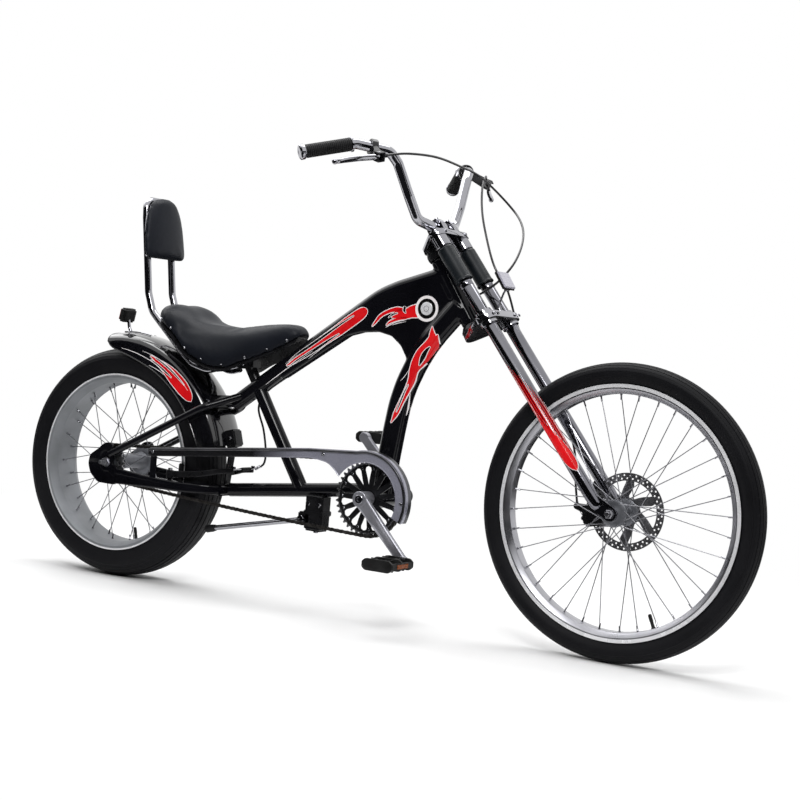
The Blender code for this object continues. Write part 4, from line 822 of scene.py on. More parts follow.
TYRES = {
    "front": (FRONT_RADIUS, 54, ((8, 0.7), (26, 0.5), (44, -1.1), (64, -1.4), (80, -1.4)), 110),
    "rear": (REAR_RADIUS, 108, ((6, 0.8), (20, 0.6), (34, 0.6), (52, -1.6), (66, -1.8), (80, -1.8)),
             84),
}
for end, (radius, width, details, cuts) in TYRES.items():
    rubber = tyre_cuts(f"{end}_tyre_rubber", BIKE @ WHEEL_AT[end].translation, radius / 1000, cuts,
                       0.0009)
    section = tyre_section(radius, RIM_RADIUS[end], width, RIM_WIDTH[end], details)
    piece(f"{end}_tyre_body", turned(section, 192, "Y", closed=True), rubber, f"{end}_wheel",
          [f"{end}_tyre"], WHEEL_AT[end], 28)

# %% [markdown]
# Rims are rolled channels. The rear one is wide and matt grey, the front one is polished. A thin pale
# ring on each side of each rim is a painted highlight along its edge. Each section is drawn once and spun
# round the axle, as the rolls would form it. The nipples are one small shape placed by the ring tree, and
# a valve stands through each rim.

# %% Rims, nipples and valves
def rim_section(radius, width):
    half = width / 2
    floor = radius - 17
    outline = [(radius, half), (radius - 9, half), (floor - 2.6, half * 0.62),
               (floor - 2.6, -half * 0.62), (radius - 9, -half), (radius, -half),
               (radius, -half + 2.6), (radius - 8, -half + 2.6), (floor, -half * 0.56),
               (floor, half * 0.56), (radius - 8, half - 2.6), (radius, half - 2.6)]
    return rounded(outline, 1.1, 2)


NIPPLE_LINE = {"front": 3, "rear": 12}
SPOKE_START = {"right": 1 / 72, "left": 1 / 72 + 1 / 36}
RIMS = {"front": (SATIN_ALLOY, 7.0, 0.35), "rear": (GREY_RIM, 3.2, 0.12)}
for end, (finish, highlight_width, highlight_rise) in RIMS.items():
    radius = RIM_RADIUS[end]
    width = RIM_WIDTH[end]
    piece(f"{end}_rim_channel", turned(rim_section(radius, width), 192, "Y", closed=True), finish,
          f"{end}_wheel", [f"{end}_rim"], WHEEL_AT[end], 32)
    # Thin rings on both sides of the rim in the pale finish: a painted highlight along the rim's edge.
    inner_edge = radius - highlight_width
    proud = width / 2 + highlight_rise
    highlight_lips = [turned([(inner_edge, side * (width / 2 - 1)), (radius + 0.4, side * (width / 2 - 1)),
                    (radius + 0.4, side * proud), (inner_edge, side * proud)], 192, "Y", closed=True)
            for side in (-1, 1)]
    piece(f"{end}_rim_bright_edges", joined(*highlight_lips), PALE_METAL_AND_PAINTED_HIGHLIGHT, f"{end}_wheel",
          matrix=WHEEL_AT[end])
    nipple = turned([(0, 1), (2.6, 1), (2.6, -1.5), (1.9, -2.5), (1.9, -11), (1.3, -12), (0, -12)],
                    10, "Z")
    for word, side in SIDES:
        ring_of(f"{end}_{word}_nipples", nipple.copy(), 18, radius - 20, side * NIPPLE_LINE[end],
                CHROME, f"{end}_wheel", WHEEL_AT[end], SPOKE_START[word])
    nipple.free()

for end, angle in (("front", -23), ("rear", -14)):
    stem = turned([(0, 2), (4.6, 2), (4.6, -1), (3.6, -3), (3.4, -14), (3.9, -16), (3.9, -26),
                   (3.2, -29), (0, -30)], 20, "Z")
    place = WHEEL_AT[end] @ Matrix.Rotation(math.radians(180 + angle), 4, "Y")
    place = place @ Matrix.Translation((0, 0, RIM_RADIUS[end] - 19.8))
    piece(f"{end}_valve", stem, BLACK_PLASTIC, f"{end}_wheel", matrix=place)

# %% [markdown]
# A spoke runs from a flange of the hub to the rim, and every second one leans the other way, so they
# cross. Each could be placed by hand or in a loop. Here a tree makes both ends from the count and the
# lean, and stretches one short wire between them.

# %% Spokes from a tree
def spoke_tree():
    tree, bench, given = new_tree("crossed_spokes", (
        ("Item", "Object"), ("Count", "Int"), ("Flange Radius", "Float"), ("Rim Radius", "Float"),
        ("Flange Across", "Float"), ("Rim Across", "Float"), ("Lean", "Float"), ("Start", "Float"),
        ("Material", "Material")))
    points = bench.node("GeometryNodeMeshLine", Count=given("Count"))
    index = bench.out(bench.node("GeometryNodeInputIndex"))
    odd = (index % 2.0) * 2.0 - 1.0
    rim_turn = (given("Start") + index / given("Count")) * (2 * math.pi)
    hub_turn = rim_turn + odd * given("Lean")
    flange = bench.node("ShaderNodeCombineXYZ", X=hub_turn.sine() * given("Flange Radius"),
                        Y=given("Flange Across") + odd * 1.9,
                        Z=hub_turn.cosine() * given("Flange Radius"))
    rim = bench.node("ShaderNodeCombineXYZ", X=rim_turn.sine() * given("Rim Radius"),
                     Y=given("Rim Across"), Z=rim_turn.cosine() * given("Rim Radius"))
    way = bench.feed_rows(bench.node("ShaderNodeVectorMath", {"operation": "SUBTRACT"}),
                          (0, bench.out(rim)), (1, bench.out(flange)))
    length = bench.node("ShaderNodeVectorMath", {"operation": "LENGTH"}, Vector=bench.out(way))
    placed = bench.node("GeometryNodeSetPosition", Geometry=bench.out(points),
                        Position=bench.out(flange))
    turn = bench.node("FunctionNodeAlignRotationToVector", {"axis": "Z"}, Vector=bench.out(way))
    size = bench.node("ShaderNodeCombineXYZ", X=1.0, Y=1.0, Z=bench.out(length, "Value"))
    finish_tree(bench, scatter(bench, bench.out(placed), given("Item"), Rotation=bench.out(turn),
                               Scale=bench.out(size)), given("Material"))
    return tree


SPOKE_TREE = spoke_tree()
SPOKE_STEEL = plain_finish("drawn_spoke_steel", (0.20, 0.20, 0.22), (0.36, 0.36, 0.38), (0.25, 0.4),
                           0.9, blotch=60, grain=900, depth=0.000004)
HUBS = {"front": (24.0, (-32.5, 26.5)), "rear": (29.0, (-49.0, 56.0))}
for end, (flange_radius, flanges) in HUBS.items():
    for (word, side), across in zip(SIDES, flanges):
        values = {"Count": 18, "Flange Radius": flange_radius, "Rim Radius": RIM_RADIUS[end] - 21.0,
                  "Flange Across": across, "Rim Across": float(side * NIPPLE_LINE[end]),
                  "Lean": math.radians(54), "Start": SPOKE_START[word]}
        tree_piece(f"{end}_{word}_spokes", SPOKE_TREE, rod((0, 0, 0), (0, 0, 1), 1.05, 8, 0.0001),
                   values, SPOKE_STEEL, f"{end}_wheel", WHEEL_AT[end])

# %% [markdown]
# Hub shells are turned from bar, so their profiles are spun. The brake rotor is stamped from sheet: a
# band with two rows of holes on curved arms.

# %% Hubs and the brake rotor
FRONT_HUB = [(5.1, -46.7), (8, -46.7), (8, -38), (14, -36), (20, -35), (27, -34.5), (28, -33.8),
             (28, -31.2), (27, -30.5), (18, -29), (14.5, -25), (13.6, -14), (13.6, 9), (14.5, 19),
             (18, 23), (27, 24.5), (28, 25.2), (28, 27.8), (27, 28.5), (21, 30), (21, 36.8),
             (12, 36.8), (9.5, 39.5), (9.5, 46.7), (5.1, 46.7)]
REAR_HUB = [(5.3, -69.7), (9, -69.7), (9, -63.5), (17, -63.5), (17, -54), (33, -51.6), (34, -50.6),
            (34, -47.6), (33, -46.6), (22, -44), (18, -38), (17, -20), (17, 26), (18, 44),
            (22, 51), (33, 53.4), (34, 54.4), (34, 57.6), (33, 58.6), (17, 61), (9, 63), (9, 69.7),
            (5.3, 69.7)]
piece("front_hub_shell", turned(FRONT_HUB, 64, "Y", closed=True), HUB_ALLOY, "front_wheel",
      ["front_hub_and_spokes"], WHEEL_AT["front"])
piece("rear_hub_shell", turned(REAR_HUB, 64, "Y", closed=True), HUB_ALLOY, "rear_wheel",
      ["rear_hub_and_spokes"], WHEEL_AT["rear"])


def polar(radius, degrees):
    angle = math.radians(degrees)
    return radius * math.cos(angle), radius * math.sin(angle)


def rotor_windows():
    """Six openings between arms that sweep as they run out."""
    windows = []
    for start in range(0, 360, 60):
        outer = [polar(64, start + a) for a in (-24, -16, -8, 0, 8, 16, 22)]
        lead = [polar(r, start + a) for r, a in ((56, 19), (48, 21), (40, 24), (33, 29))]
        inner = [polar(29, start + a) for a in (25, 17, 9)]
        trail = [polar(r, start + a) for r, a in ((33, 1), (40, -7), (48, -14), (56, -20))]
        windows.append(rounded(outer + lead + inner + trail, 3, 2))
    return windows


HOLES = [circle(*polar(radius, 10 * i + turn), 2.1, 8)
         for radius, turn in ((75.2, 0), (68.6, 5)) for i in range(36)]
rotor = plate(circle(0, 0, 80, 120), 37.1, 38.9, rotor_windows() + HOLES + [circle(0, 0, 10.1, 32)])
ROTOR_STEEL = plain_finish("ground_rotor_steel", (0.20, 0.20, 0.21), (0.34, 0.34, 0.35), (0.24, 0.4),
                           0.9, blotch=30, grain=400, depth=0.00001, stretch=(1, 6, 1))
piece("brake_rotor_plate", rotor, ROTOR_STEEL, "front_wheel", ["brake_rotor"],
      WHEEL_AT["front"])
rotor_screw = moved(cap_screw(3.4, 2.2), Matrix.Rotation(-math.pi / 2, 4, "X"))
ring_of("rotor_screws", rotor_screw, 6, 17.5, 38.9, BLACK_STEEL, "front_wheel", WHEEL_AT["front"])

# %% [markdown]
# ## The fork
# Chrome legs with black sleeves, a lower crown, a top clamp and the stanchions between them. Each is
# turned or cut from plate on the real thing, so each is spun or stamped here. The ring round a leg and
# the tip that holds the axle are separate shapes joined on, as they are in the fork.

# %% Fork legs and sleeves
LEG_END = 22 - LEG_REACH
LEG_PROFILE = [(0, LEG_END), (7, LEG_END), (9.5, LEG_END + 2), (12, LEG_END + 9),
               (13.4, LEG_END + 20), (14, LEG_END + 34), (14, 93), (13.4, 94)]
STANCHION_PROFILE = [(12.5, 94), (12.5, 219.6), (11.8, 221), (0, 221)]
# A darker copy of the chrome for the fork legs: the extra darkness is painted dark reflection.
FORK_CHROME = plain_finish("fork_chrome_painted_dark_reflection", (0.17, 0.17, 0.19), (0.27, 0.27, 0.295), (0.07, 0.14), 1.0,
                           blotch=9, grain=500, depth=0.000004)
for word, side in SIDES:
    leg = turned(LEG_PROFILE + STANCHION_PROFILE, 40, "Z")
    ring = turned([(14, 78), (14.6, 79), (14.6, 91), (14, 92)], 40, "Z")
    near, far = (-2, 5) if side > 0 else (-5, 2)
    tip = plate(hull([(0, LEG_END + 18, 14), (AXLE_AHEAD, -LEG_REACH, 15)]), near, far,
                [circle(AXLE_AHEAD, -LEG_REACH, 5.1)], bevel=0.8)
    piece(f"fork_leg_{word}_lower", joined(leg, ring, tip), FORK_CHROME, "steering",
          [f"fork_leg_{word}"], HEAD @ leg_matrix(side))
    sleeve = turned([(12.8, 94.3), (19.4, 94.3), (19.4, 97), (18.6, 98.6), (18.2, 100), (18.2, 174),
                     (17.6, 177), (16.2, 178.4), (12.8, 178.4)], 48, "Z", closed=True)
    piece(f"fork_sleeve_{word}_cover", sleeve, SATIN_BLACK, "steering", [f"fork_sleeve_{word}"],
          HEAD @ leg_matrix(side))

# %% [markdown]
# The crown and the clamp hold the two legs round the steering axis. Both are flat forgings with round
# ends, so each is the hull of three circles with collars and caps spun on the legs' own axes.

# %% Crown, clamp and headset
def crown_outline(ahead, middle, ends):
    """The steerer's eye and the two legs' eyes with one outline round them."""
    return hull([(0, 0, middle), (ahead, -LEG_SPREAD, ends), (ahead, LEG_SPREAD, ends)], 48)


crown = plate(crown_outline(CROWN_AHEAD, 27, 25), -8, 6, lie="Z", bevel=1.6)
steerer = turned([(0, 4), (12.7, 4), (12.7, 214), (0, 214)], 32, "Z")
COLLAR = [(14.3, -18), (18.5, -17), (19, -9), (19, 8), (18.5, 15), (14.3, 16)]
collars = [moved(turned(COLLAR, 40, "Z", closed=True), leg_matrix(side)) for word, side in SIDES]
piece("lower_crown_forging", joined(crown, steerer, *collars), CHROME, "steering",
      ["lower_fork_crown"], HEAD)
underside = plate(crown_outline(CROWN_AHEAD, 26.4, 24.4), -8.7, -7.5, lie="Z", bevel=0.4)
piece("lower_crown_underside", underside, BLACK_STEEL, "steering", matrix=HEAD)
clamp_offset = (leg_matrix(0) @ Vector((0, 0, 212))).x
clamp = plate(crown_outline(clamp_offset, 24, 20), 206, 218, lie="Z", bevel=2.4)
cap = turned([(0, 216), (16, 216), (16, 221), (13, 224), (9, 226), (0, 226.5)], 36, "Z")
TOP = [(0, 217), (13.6, 217), (13.6, 222), (12, 224), (6, 224.6), (5.4, 222.6), (0, 222.6)]
BARREL = [(12.8, 181), (16.6, 181), (17.4, 182), (17.4, 207), (12.8, 207)]
tops = [moved(joined(turned(TOP, 32, "Z"), turned(BARREL, 40, "Z", closed=True)), leg_matrix(side))
        for word, side in SIDES]
piece("upper_clamp_forging", joined(clamp, cap, *tops), CHROME, "steering", ["upper_fork_clamp"],
      HEAD)
pinch = []
for word, side in SIDES:
    pinch += [((81.5, side * 40, -1), (1, -side * 0.2, 0)), ((81.5, side * 58, -1), (1, side * 0.2, 0)),
              ((clamp_offset + 19.6, side * 44, 212), (1, -side * 0.1, 0))]
copies_at("fork_pinch_bolts", cap_screw(3.6, 3.2), pinch, CHROME, "steering", HEAD)
piece("lower_headset_ring", turned([(13, 6.3), (27, 6.3), (27.4, 8), (26.6, 9), (27, 10.5),
                                    (25, 13.7), (21, 19.7), (13, 19.7)], 48, "Z", closed=True),
      BLACK_STEEL, "frame", ["lower_headset_cup"], HEAD)
piece("upper_headset_ring", turned([(13, 182.3), (21, 182.3), (22.6, 186), (23.2, 190.3), (22.8, 192),
                                    (23.2, 193.5), (22.4, 197), (20, 205.7), (13, 205.7)], 48, "Z",
                                   closed=True),
      BLACK_STEEL, "frame", ["upper_headset_cup"], HEAD)

# %% [markdown]
# The disc caliper is a small casting with ribs, a bracket bolted to the leg and an arm that the cable
# pulls. It can be one rounded block, or a few plates stacked the way the casting steps in. Stacking is
# used, because the steps are what shows between the spokes.

# %% Front axle and caliper
def outward(side, across):
    """Turns a nut or a bolt so that it stands outwards at one side of an axle."""
    return Matrix.Translation((0, side * across, 0)) @ Matrix.Rotation(-side * math.pi / 2, 4, "X")


front_pin = turned([(0, -67.7), (4.4, -67.7), (5, -67), (5, 67), (4.4, 67.7), (0, 67.7)], 24, "Y")
WASHER = [(5, -0.3), (10.6, -0.3), (10.6, 1.2), (5, 1.2)]
nuts = [moved(joined(hex_head(18.5, 8.6), turned(WASHER, 32, "Z", closed=True)), outward(side, 54.6))
        for side in (-1, 1)]
piece("front_axle_and_nuts", joined(front_pin, *nuts), SATIN_ALLOY, "steering", ["front_axle"],
      WHEEL_AT["front"])

CALIPER_AT = WHEEL_AT["front"] @ Matrix.Rotation(math.radians(-192), 4, "Y")
PULL_ARM_AT = Matrix.Translation(CALIPER_AT @ Vector((76, 0, 0))) @ steer_turn()
body_outline = rounded([(54, -17), (60, -23), (88, -23), (96, -14), (96, 14), (88, 23), (60, 23),
                        (54, 17)], 3, 2)
inset = [(75 + (x - 75) * 0.8, z * 0.8) for x, z in body_outline]
caliper = joined(plate(body_outline, 29.2, 36.4, bevel=1.2), plate(body_outline, 39.6, 52, bevel=1.2),
                 plate(inset, 36, 40), plate(inset, 51, 60, bevel=1.2),
                 plate(rounded([(84, -19), (96, -12), (96, 12), (84, 19)], 2, 2), 36, 40))
bracket = plate(rounded([(60, -8), (92, -16), (82, -58), (50, -84), (38, -62), (50, -20)], 5, 3),
                44.2, 50.8, bevel=0.8)
piece("disc_caliper_casting", joined(caliper, bracket), BLACK_STEEL, "steering", ["disc_caliper"],
      CALIPER_AT)
copies_at("caliper_bolts", cap_screw(4.2, 3.6),
          [((70, 50.8, -30), (0, 1, 0)), ((52, 50.8, -66), (0, 1, 0)), ((87, 60, -10), (0, 1, 0)),
           ((87, 60, 10), (0, 1, 0))], CHROME, "steering", CALIPER_AT)
arm = plate(hull([(0, 0, 8), (-32, 8, 5)]), 60.6, 64, [circle(-32, 8, 1.6, 12)], bevel=0.7)
arm_boss = turned([(0, 60.4), (7.4, 60.4), (7.4, 66.8), (6.4, 67.6), (0, 67.6)], 24, "Y")
piece("caliper_pull_arm", joined(arm, arm_boss), SATIN_ALLOY, "caliper_arm", ["caliper_arm"],
      PULL_ARM_AT)
print("fork done,", len(MADE), "pieces so far")

# %% [markdown]
# ## The frame's front shell
# In the photograph the top tube, the tank and the down tube read as one smooth black shell. Tubes set
# against a plate would show hard lines, and a hand-made shell takes long. Here the same tubes and plate
# are laid over each other, wrapped in one skin by a voxel remesh and then relaxed, which fills every
# corner with a weld fillet.

# %% Wrapping shapes in one skin
def wrapped(shapes, voxel, relax):
    """One smooth skin round the joined shapes. The shapes come in metres in the shared frame."""
    mesh = bpy.data.meshes.new("raw")
    shapes.to_mesh(mesh)
    shapes.free()
    host = added("raw", mesh)
    skin = host.modifiers.new("skin", "REMESH")
    skin.mode = "VOXEL"
    skin.voxel_size = voxel
    relaxed = host.modifiers.new("relax", "SMOOTH")
    relaxed.factor = 0.5
    relaxed.iterations = relax
    return baked(host)


def tree_of(mesh):
    """A search tree of a mesh, for finding the skin under a point."""
    bm = bmesh.new()
    bm.from_mesh(mesh)
    tree = BVHTree.FromBMesh(bm)
    bm.free()
    return tree


def head_point(x, y, z):
    return HEAD @ Vector((x, y, z))


def seat_axis(distance):
    return Vector((489, 0, 276)) + Vector((-0.536, 0, 0.844)) * distance


TOP_TUBE = bent_path([(300, 0, 434), (366, 0, 483), (502, 0, 584), (667, 0, 704), (711, 0, 723),
                      head_point(0, 0, 144)], 260, 12)
DOWN_TUBE = bent_path([head_point(0, 0, 68), (847, 0, 678), (797, 0, 619), (770, 0, 575),
                       (745, 0, 520), (732, 0, 473), (724, 0, 419), (715, 0, 350), CRANK], 260, 12)
TANK = [(412, 517), (430, 504), (591, 612), (625, 622), (669, 626), (703, 619), (728, 600),
        (747, 570), (766, 570), (797, 619), (847, 678), (855, 692), (817, 752), (800, 752),
        (711, 723), (667, 704), (500, 583)]
VOXEL = 0.0025
shell = joined(pipe(TOP_TUBE, 19, 40), pipe(DOWN_TUBE, 25, 48), plate(TANK, -15, 15, bevel=3),
               pipe([head_point(0, 0, 20.6), head_point(0, 0, 181.4)], 20, 48))
place_mesh("frame_front_shell", wrapped(moved(shell, BIKE), VOXEL, 10), BLACK_PAINT, "frame",
           ["head_tube", "top_tube", "down_tube", "tank_web"], 60)

# %% [markdown]
# The seat tube, the bottom tube and the rear triangle stay separate welded pieces. The stays are bent
# from round tube whose ends are pressed flat, so their section changes along the way. The drop outs are
# laser-cut plate.

# %% Seat tube, bottom tube and rear triangle
def bar_section(centre, half_width, half_height, sides=4):
    """A rounded rectangle across x, for a bar that runs forward."""
    centre = Vector(centre)
    reach = min(half_width, half_height) * 0.7
    ring = []
    for quarter in range(4):
        cy = (half_width - reach) * (1, -1, -1, 1)[quarter]
        cz = (half_height - reach) * (1, 1, -1, -1)[quarter]
        for k in range(sides + 1):
            angle = math.pi / 2 * (quarter + k / sides)
            ring.append(centre + Vector((0, cy + reach * math.cos(angle),
                                         cz + reach * math.sin(angle))))
    return ring


seat_tube = joined(pipe([seat_axis(-17), seat_axis(240)], 15.5, 40),
                   pipe([seat_axis(226), seat_axis(241)], 17.2, 40))
piece("seat_tube_and_collar", seat_tube, BLACK_PAINT, "frame", ["seat_tube"])
post_head = block(seat_axis(300) + Vector((0, 0, 6)), (44, 40, 36), 5)
post_bolt = rod(seat_axis(300) + Vector((0, -27, 2)), seat_axis(300) + Vector((0, 27, 2)), 4.5)
piece("seat_post_tube", joined(pipe([seat_axis(152), seat_axis(296)], 12.7, 32), post_head),
      BLACK_STEEL, "frame", ["seat_post"])
piece("seat_post_bolt", joined(post_bolt, rod(seat_axis(300) + Vector((0, -30, 2)),
                                              seat_axis(300) + Vector((0, -25, 2)), 7.5)),
      CHROME, "frame")

bottom = joined(pipe([(306, 0, 237.5), (640, 0, 276), CRANK + Vector((-6, 0, 6))], 15.5, 40),
                moved(turned([(17, -50), (21, -50), (22, -49), (22, 49), (21, 50), (17, 50)], 48, "Y",
                             closed=True), CRANK))
piece("bottom_tube_and_shell", bottom, BLACK_PAINT, "frame", ["bottom_tube"])

stays = [block((291, 0, 236), (26, 68, 26), 5, segments=3)]
uppers = []
for word, side in SIDES:
    dropout = rounded([(-54, 262), (-46, 240), (-22, 220), (30, 219), (30, 263), (17, 263),
                       (17, 306), (8, 317), (-10, 314), (-28, 298), (-50, 283)], 7, 3)
    stays.append(plate(dropout, side * 70, side * 78, [circle(0, REAR_RADIUS, 5.3, 24)], bevel=0.9))
    stations = [(14, 74, 241, 3.4, 20), (24, 74, 240.5, 3.5, 19.4), (34, 74, 240, 3.6, 18),
                (70, 74, 239, 4.8, 16.4), (110, 74, 238, 6, 14), (160, 74.6, 237, 6.7, 12.4),
                (205, 75, 236, 7, 11.5), (228, 71.5, 236, 7.6, 11.5), (248, 64, 236, 8, 11.5),
                (268, 52, 236, 8.6, 11.5), (284, 42, 236, 9, 11.5), (296, 26, 236, 9, 11.5)]
    stays.append(loft([bar_section((x, side * y, z), w, h) for x, y, z, w, h in stations]))
    stays.append(rod((176, side * 62, 246), (176, side * 62, 265.5), 5))
    stays.append(block((176, side * 67, 245), (16, 20, 6), 1))
    path = bent_path(mirrored([(8, 76.5, 289), (262, 76.5, 422), (322, 14, 454)], side), 40, 10)
    uppers.append(pipe(path, 8.5, 28))
tab = rounded([(131, 236), (147, 236), (147, 307), (143, 313), (135, 313), (131, 307)], 2, 2)
stays.append(plate(tab, -80, -77, [circle(139, 309, 1.6, 12)], bevel=0.5))
piece("chain_stays_and_dropouts", joined(*stays), BLACK_PAINT, "frame", ["chain_stays"])
x, z = polar(316.6, 32)
bridge = block(REAR_AXLE + Vector((x, 0, z)), (20, 126, 24), 3,
               Matrix.Rotation(-math.radians(32), 4, "Y"))
piece("seat_stays_and_bridge", joined(bridge, *uppers), BLACK_PAINT, "frame", ["seat_stays"])

rear_pin = turned([(0, -101), (4.4, -101), (5, -100), (5, 100), (4.4, 101), (0, 101)], 24, "Y")
nuts = [moved(hex_head(19, 11), outward(side, 78.4)) for side in (-1, 1)]
washers = [turned([(5.2, side * 78.3), (11.6, side * 78.3), (11.6, side * 79.8), (5.2, side * 79.8)],
                  32, "Y", closed=True) for side in (-1, 1)]
piece("rear_axle_and_nuts", joined(rear_pin, *nuts, *washers), SATIN_ALLOY, "frame", ["rear_axle"],
      WHEEL_AT["rear"])
print("frame done,", len(MADE), "pieces so far")

# %% [markdown]
# ## Handlebar, clamps and grips
# The bar is one tube bent on a single die, so a path with arcs of one radius describes it. Two split
# clamps with cap screws hold it. The grips are ribbed rubber sleeves between bright collars, and a spun
# profile with a ring every few millimetres gives the ribs.

# %% Bar, clamps and grips
def bar_corners(side):
    return mirrored([(799, 0, 856.6), (799, 42, 856.6), (783, 81, 867), (776.5, 114.5, 913.7),
                     (766, 153, 977), (758, 176, 998), (711, 234, 1005), (641.5, 322, 974.6)], side)


def along_matrix(place, direction):
    """Coordinates whose z runs along the direction and whose x points up as far as it can."""
    z = Vector(direction).normalized()
    x = (Vector((0, 0, 1)) - z * z.z).normalized()
    y = z.cross(x)
    return Matrix.Translation(place) @ Matrix((x, y, z)).transposed().to_4x4()


bar_path = bent_path(bar_corners(-1)[:0:-1] + bar_corners(1), 34, 12)
piece("handlebar_tube", pipe(bar_path, 11.1, 32), CHROME, "steering", ["handlebar"])
clamp_outline = rounded([(18, 218.3), (56, 218.3), (56, 240), (50, 251), (24, 251), (18, 240)], 7, 4)
bar_middle = UNHEAD @ Vector((799, 0, 856.6))
for word, side in SIDES:
    near, far = sorted((side * 14.2, side * 35.8))
    clamp_body = plate(clamp_outline, near, far, [circle(bar_middle.x, bar_middle.z, 11.5, 40)],
                       bevel=1.6)
    slit = block((bar_middle.x + 14, side * 25, bar_middle.z + 1), (9, 22.4, 1.4), 0.2)
    piece(f"bar_clamp_{word}_half", clamp_body, CHROME, "steering", [f"bar_clamp_{word}"],
          HEAD)
    piece(f"bar_clamp_{word}_slit", slit, BLACK_STEEL, "steering", matrix=HEAD)
bolts = [((x, side * 25, 251), (0, 0, 1)) for side in (-1, 1) for x in (30, 45)]
copies_at("bar_clamp_bolts", cap_screw(4.2, 4), bolts, CHROME, "steering", HEAD)

for word, side in SIDES:
    start, end = [Vector(corner) for corner in bar_corners(side)[-2:]]
    stop = (end - start).length + 0.8
    low = stop - 109
    turn = along_matrix(start, end - start)
    ribs = [(11.8, low + 5.2), (13.2, low + 5.2)]
    level = low + 7
    while level < stop - 8:
        ribs += [(12.9, level), (14, level + 0.7), (14, level + 2.5), (12.9, level + 3.2)]
        level += 4.1
    ribs += [(13.2, stop - 4.2), (11.8, stop - 4.2)]
    piece(f"grip_{word}_sleeve", turned(ribs, 48, "Z", closed=True), RUBBER, "steering",
          [f"grip_{word}"], turn)
    collar = turned([(11.8, low), (15, low), (16, low + 1), (16, low + 4), (15, low + 5),
                     (11.8, low + 5)], 48, "Z", closed=True)
    cap = turned([(11.8, stop - 4), (15, stop - 4), (16, stop - 2.5), (16, stop + 4),
                  (14.5, stop + 5.5), (10, stop + 7), (6, stop + 6.2), (0, stop + 6)], 48, "Z")
    piece(f"grip_{word}_bright_rings", joined(collar, cap), CHROME, "steering", matrix=turn)

# %% [markdown]
# The brake levers are forged blades with a ball end. A loft through a few sections, smoothed between
# them, follows the blade's curve. The perch is a cast clamp with a slot for the blade, a pivot screw and
# a knurled adjuster for the cable.

# %% Brake levers and perches
def lever_pivot(side):
    return Vector((774, side * 245, 978))


def lever_matrix(side):
    """x runs along the lever and z on its pivot."""
    tip = Vector((744, side * 341, 953))
    along = (tip - lever_pivot(side)).normalized()
    pull = Vector((676, side * 279, 990)) - (tip + lever_pivot(side)) / 2
    axis = along.cross(pull).normalized()
    across = axis.cross(along)
    return Matrix.Translation(lever_pivot(side)) @ Matrix((along, across, axis)).transposed().to_4x4()


def lever_blade():
    rings = []
    for spot in curve_through([(-6, 0, 0), (12, 1, 0), (45, 7, 0), (80, 9, 0), (98, 8, 0),
                               (106, 10, 0)], 5):
        share = (spot.x + 6) / 112
        wide = 6.2 - 4.0 * max(0, share - 0.7) - (2.6 if share < 0.04 else 0)
        tall = 4.4 - 0.7 * share - (1.8 if share < 0.04 else 0)
        ring = []
        for k in range(20):
            angle = 2 * math.pi * k / 20
            c = math.cos(angle)
            s = math.sin(angle)
            ring.append((spot.x, spot.y + tall * math.copysign(abs(s) ** 0.8, s),
                         wide * math.copysign(abs(c) ** 0.8, c)))
        rings.append(ring)
    ball = bmesh.new()
    bmesh.ops.create_uvsphere(ball, u_segments=24, v_segments=14, radius=6.2)
    return joined(loft(rings), moved(ball, (108, 10, 0)))


PERCH_BLACK = plain_finish("perch_black_coat", (0.008, 0.008, 0.009), (0.020, 0.020, 0.022),
                           (0.2, 0.32), 0.1, blotch=30, grain=1300, depth=0.00004)
for word, side in SIDES:
    place = lever_matrix(side)
    piece(f"brake_lever_{word}_blade", lever_blade(), CHROME, f"lever_{word}",
          [f"brake_lever_{word}"], place)
    before, after = [Vector(corner) for corner in bar_corners(side)[-3:-1]]
    centre = (before + after) / 2
    ring = turned([(11.8, -7), (16.2, -7), (17, -6), (17, 6), (16.2, 7), (11.8, 7)], 40, "Z",
                  closed=True)
    moved(ring, place.inverted() @ along_matrix(centre, after - before))
    root = centre + (lever_pivot(side) - centre).normalized() * 13
    reach = place.inverted() @ root
    neck = loft([[(reach.x + x, reach.y, reach.z + z) for x, z in ((-4, 9), (4, 9), (4, -9), (-4, -9))],
                 [(x, 9, z) for x, z in ((-12, 10), (4.5, 10), (4.5, -10), (-12, -10))]])
    cheeks = [block((-2.5, 0.5, z), (19, 17, 2.5), 0.9) for z in (8.75, -8.75)]
    back = block((-10.2, 0.5, 0), (3.4, 17, 19.6), 0.9)
    barrel = turned([(0, -23), (3.4, -23), (4.5, -22), (4.5, -18.6), (3.7, -18), (4.5, -17.4),
                     (4.5, -11.5), (0, -11)], 18, "Z")
    moved(barrel, Matrix.Rotation(math.pi / 2, 4, "Y"))
    piece(f"lever_perch_{word}_casting", joined(ring, neck, back, barrel, *cheeks), PERCH_BLACK,
          "steering", [f"lever_perch_{word}"], place)
    pivot = turned([(0, -10.6), (3.6, -10.6), (4, -10), (4, -9.9), (2, -9.9), (2, 9.9), (4, 9.9),
                    (4, 10), (3.6, 10.8), (0, 10.8)], 20, "Z")
    piece(f"lever_pivot_{word}", pivot, CHROME, "steering", matrix=place)

# %% [markdown]
# ## Brake cables
# The front one stays with the fork. The rear one starts on the bars and ends on the frame; it is placed
# without a body of its own, with its shape baked in place.

# %% Cable routes
def cable_start(side):
    return [lever_matrix(side) @ Vector((-23.3, 0, 0)), lever_matrix(side) @ Vector((-36, 0, 0))]


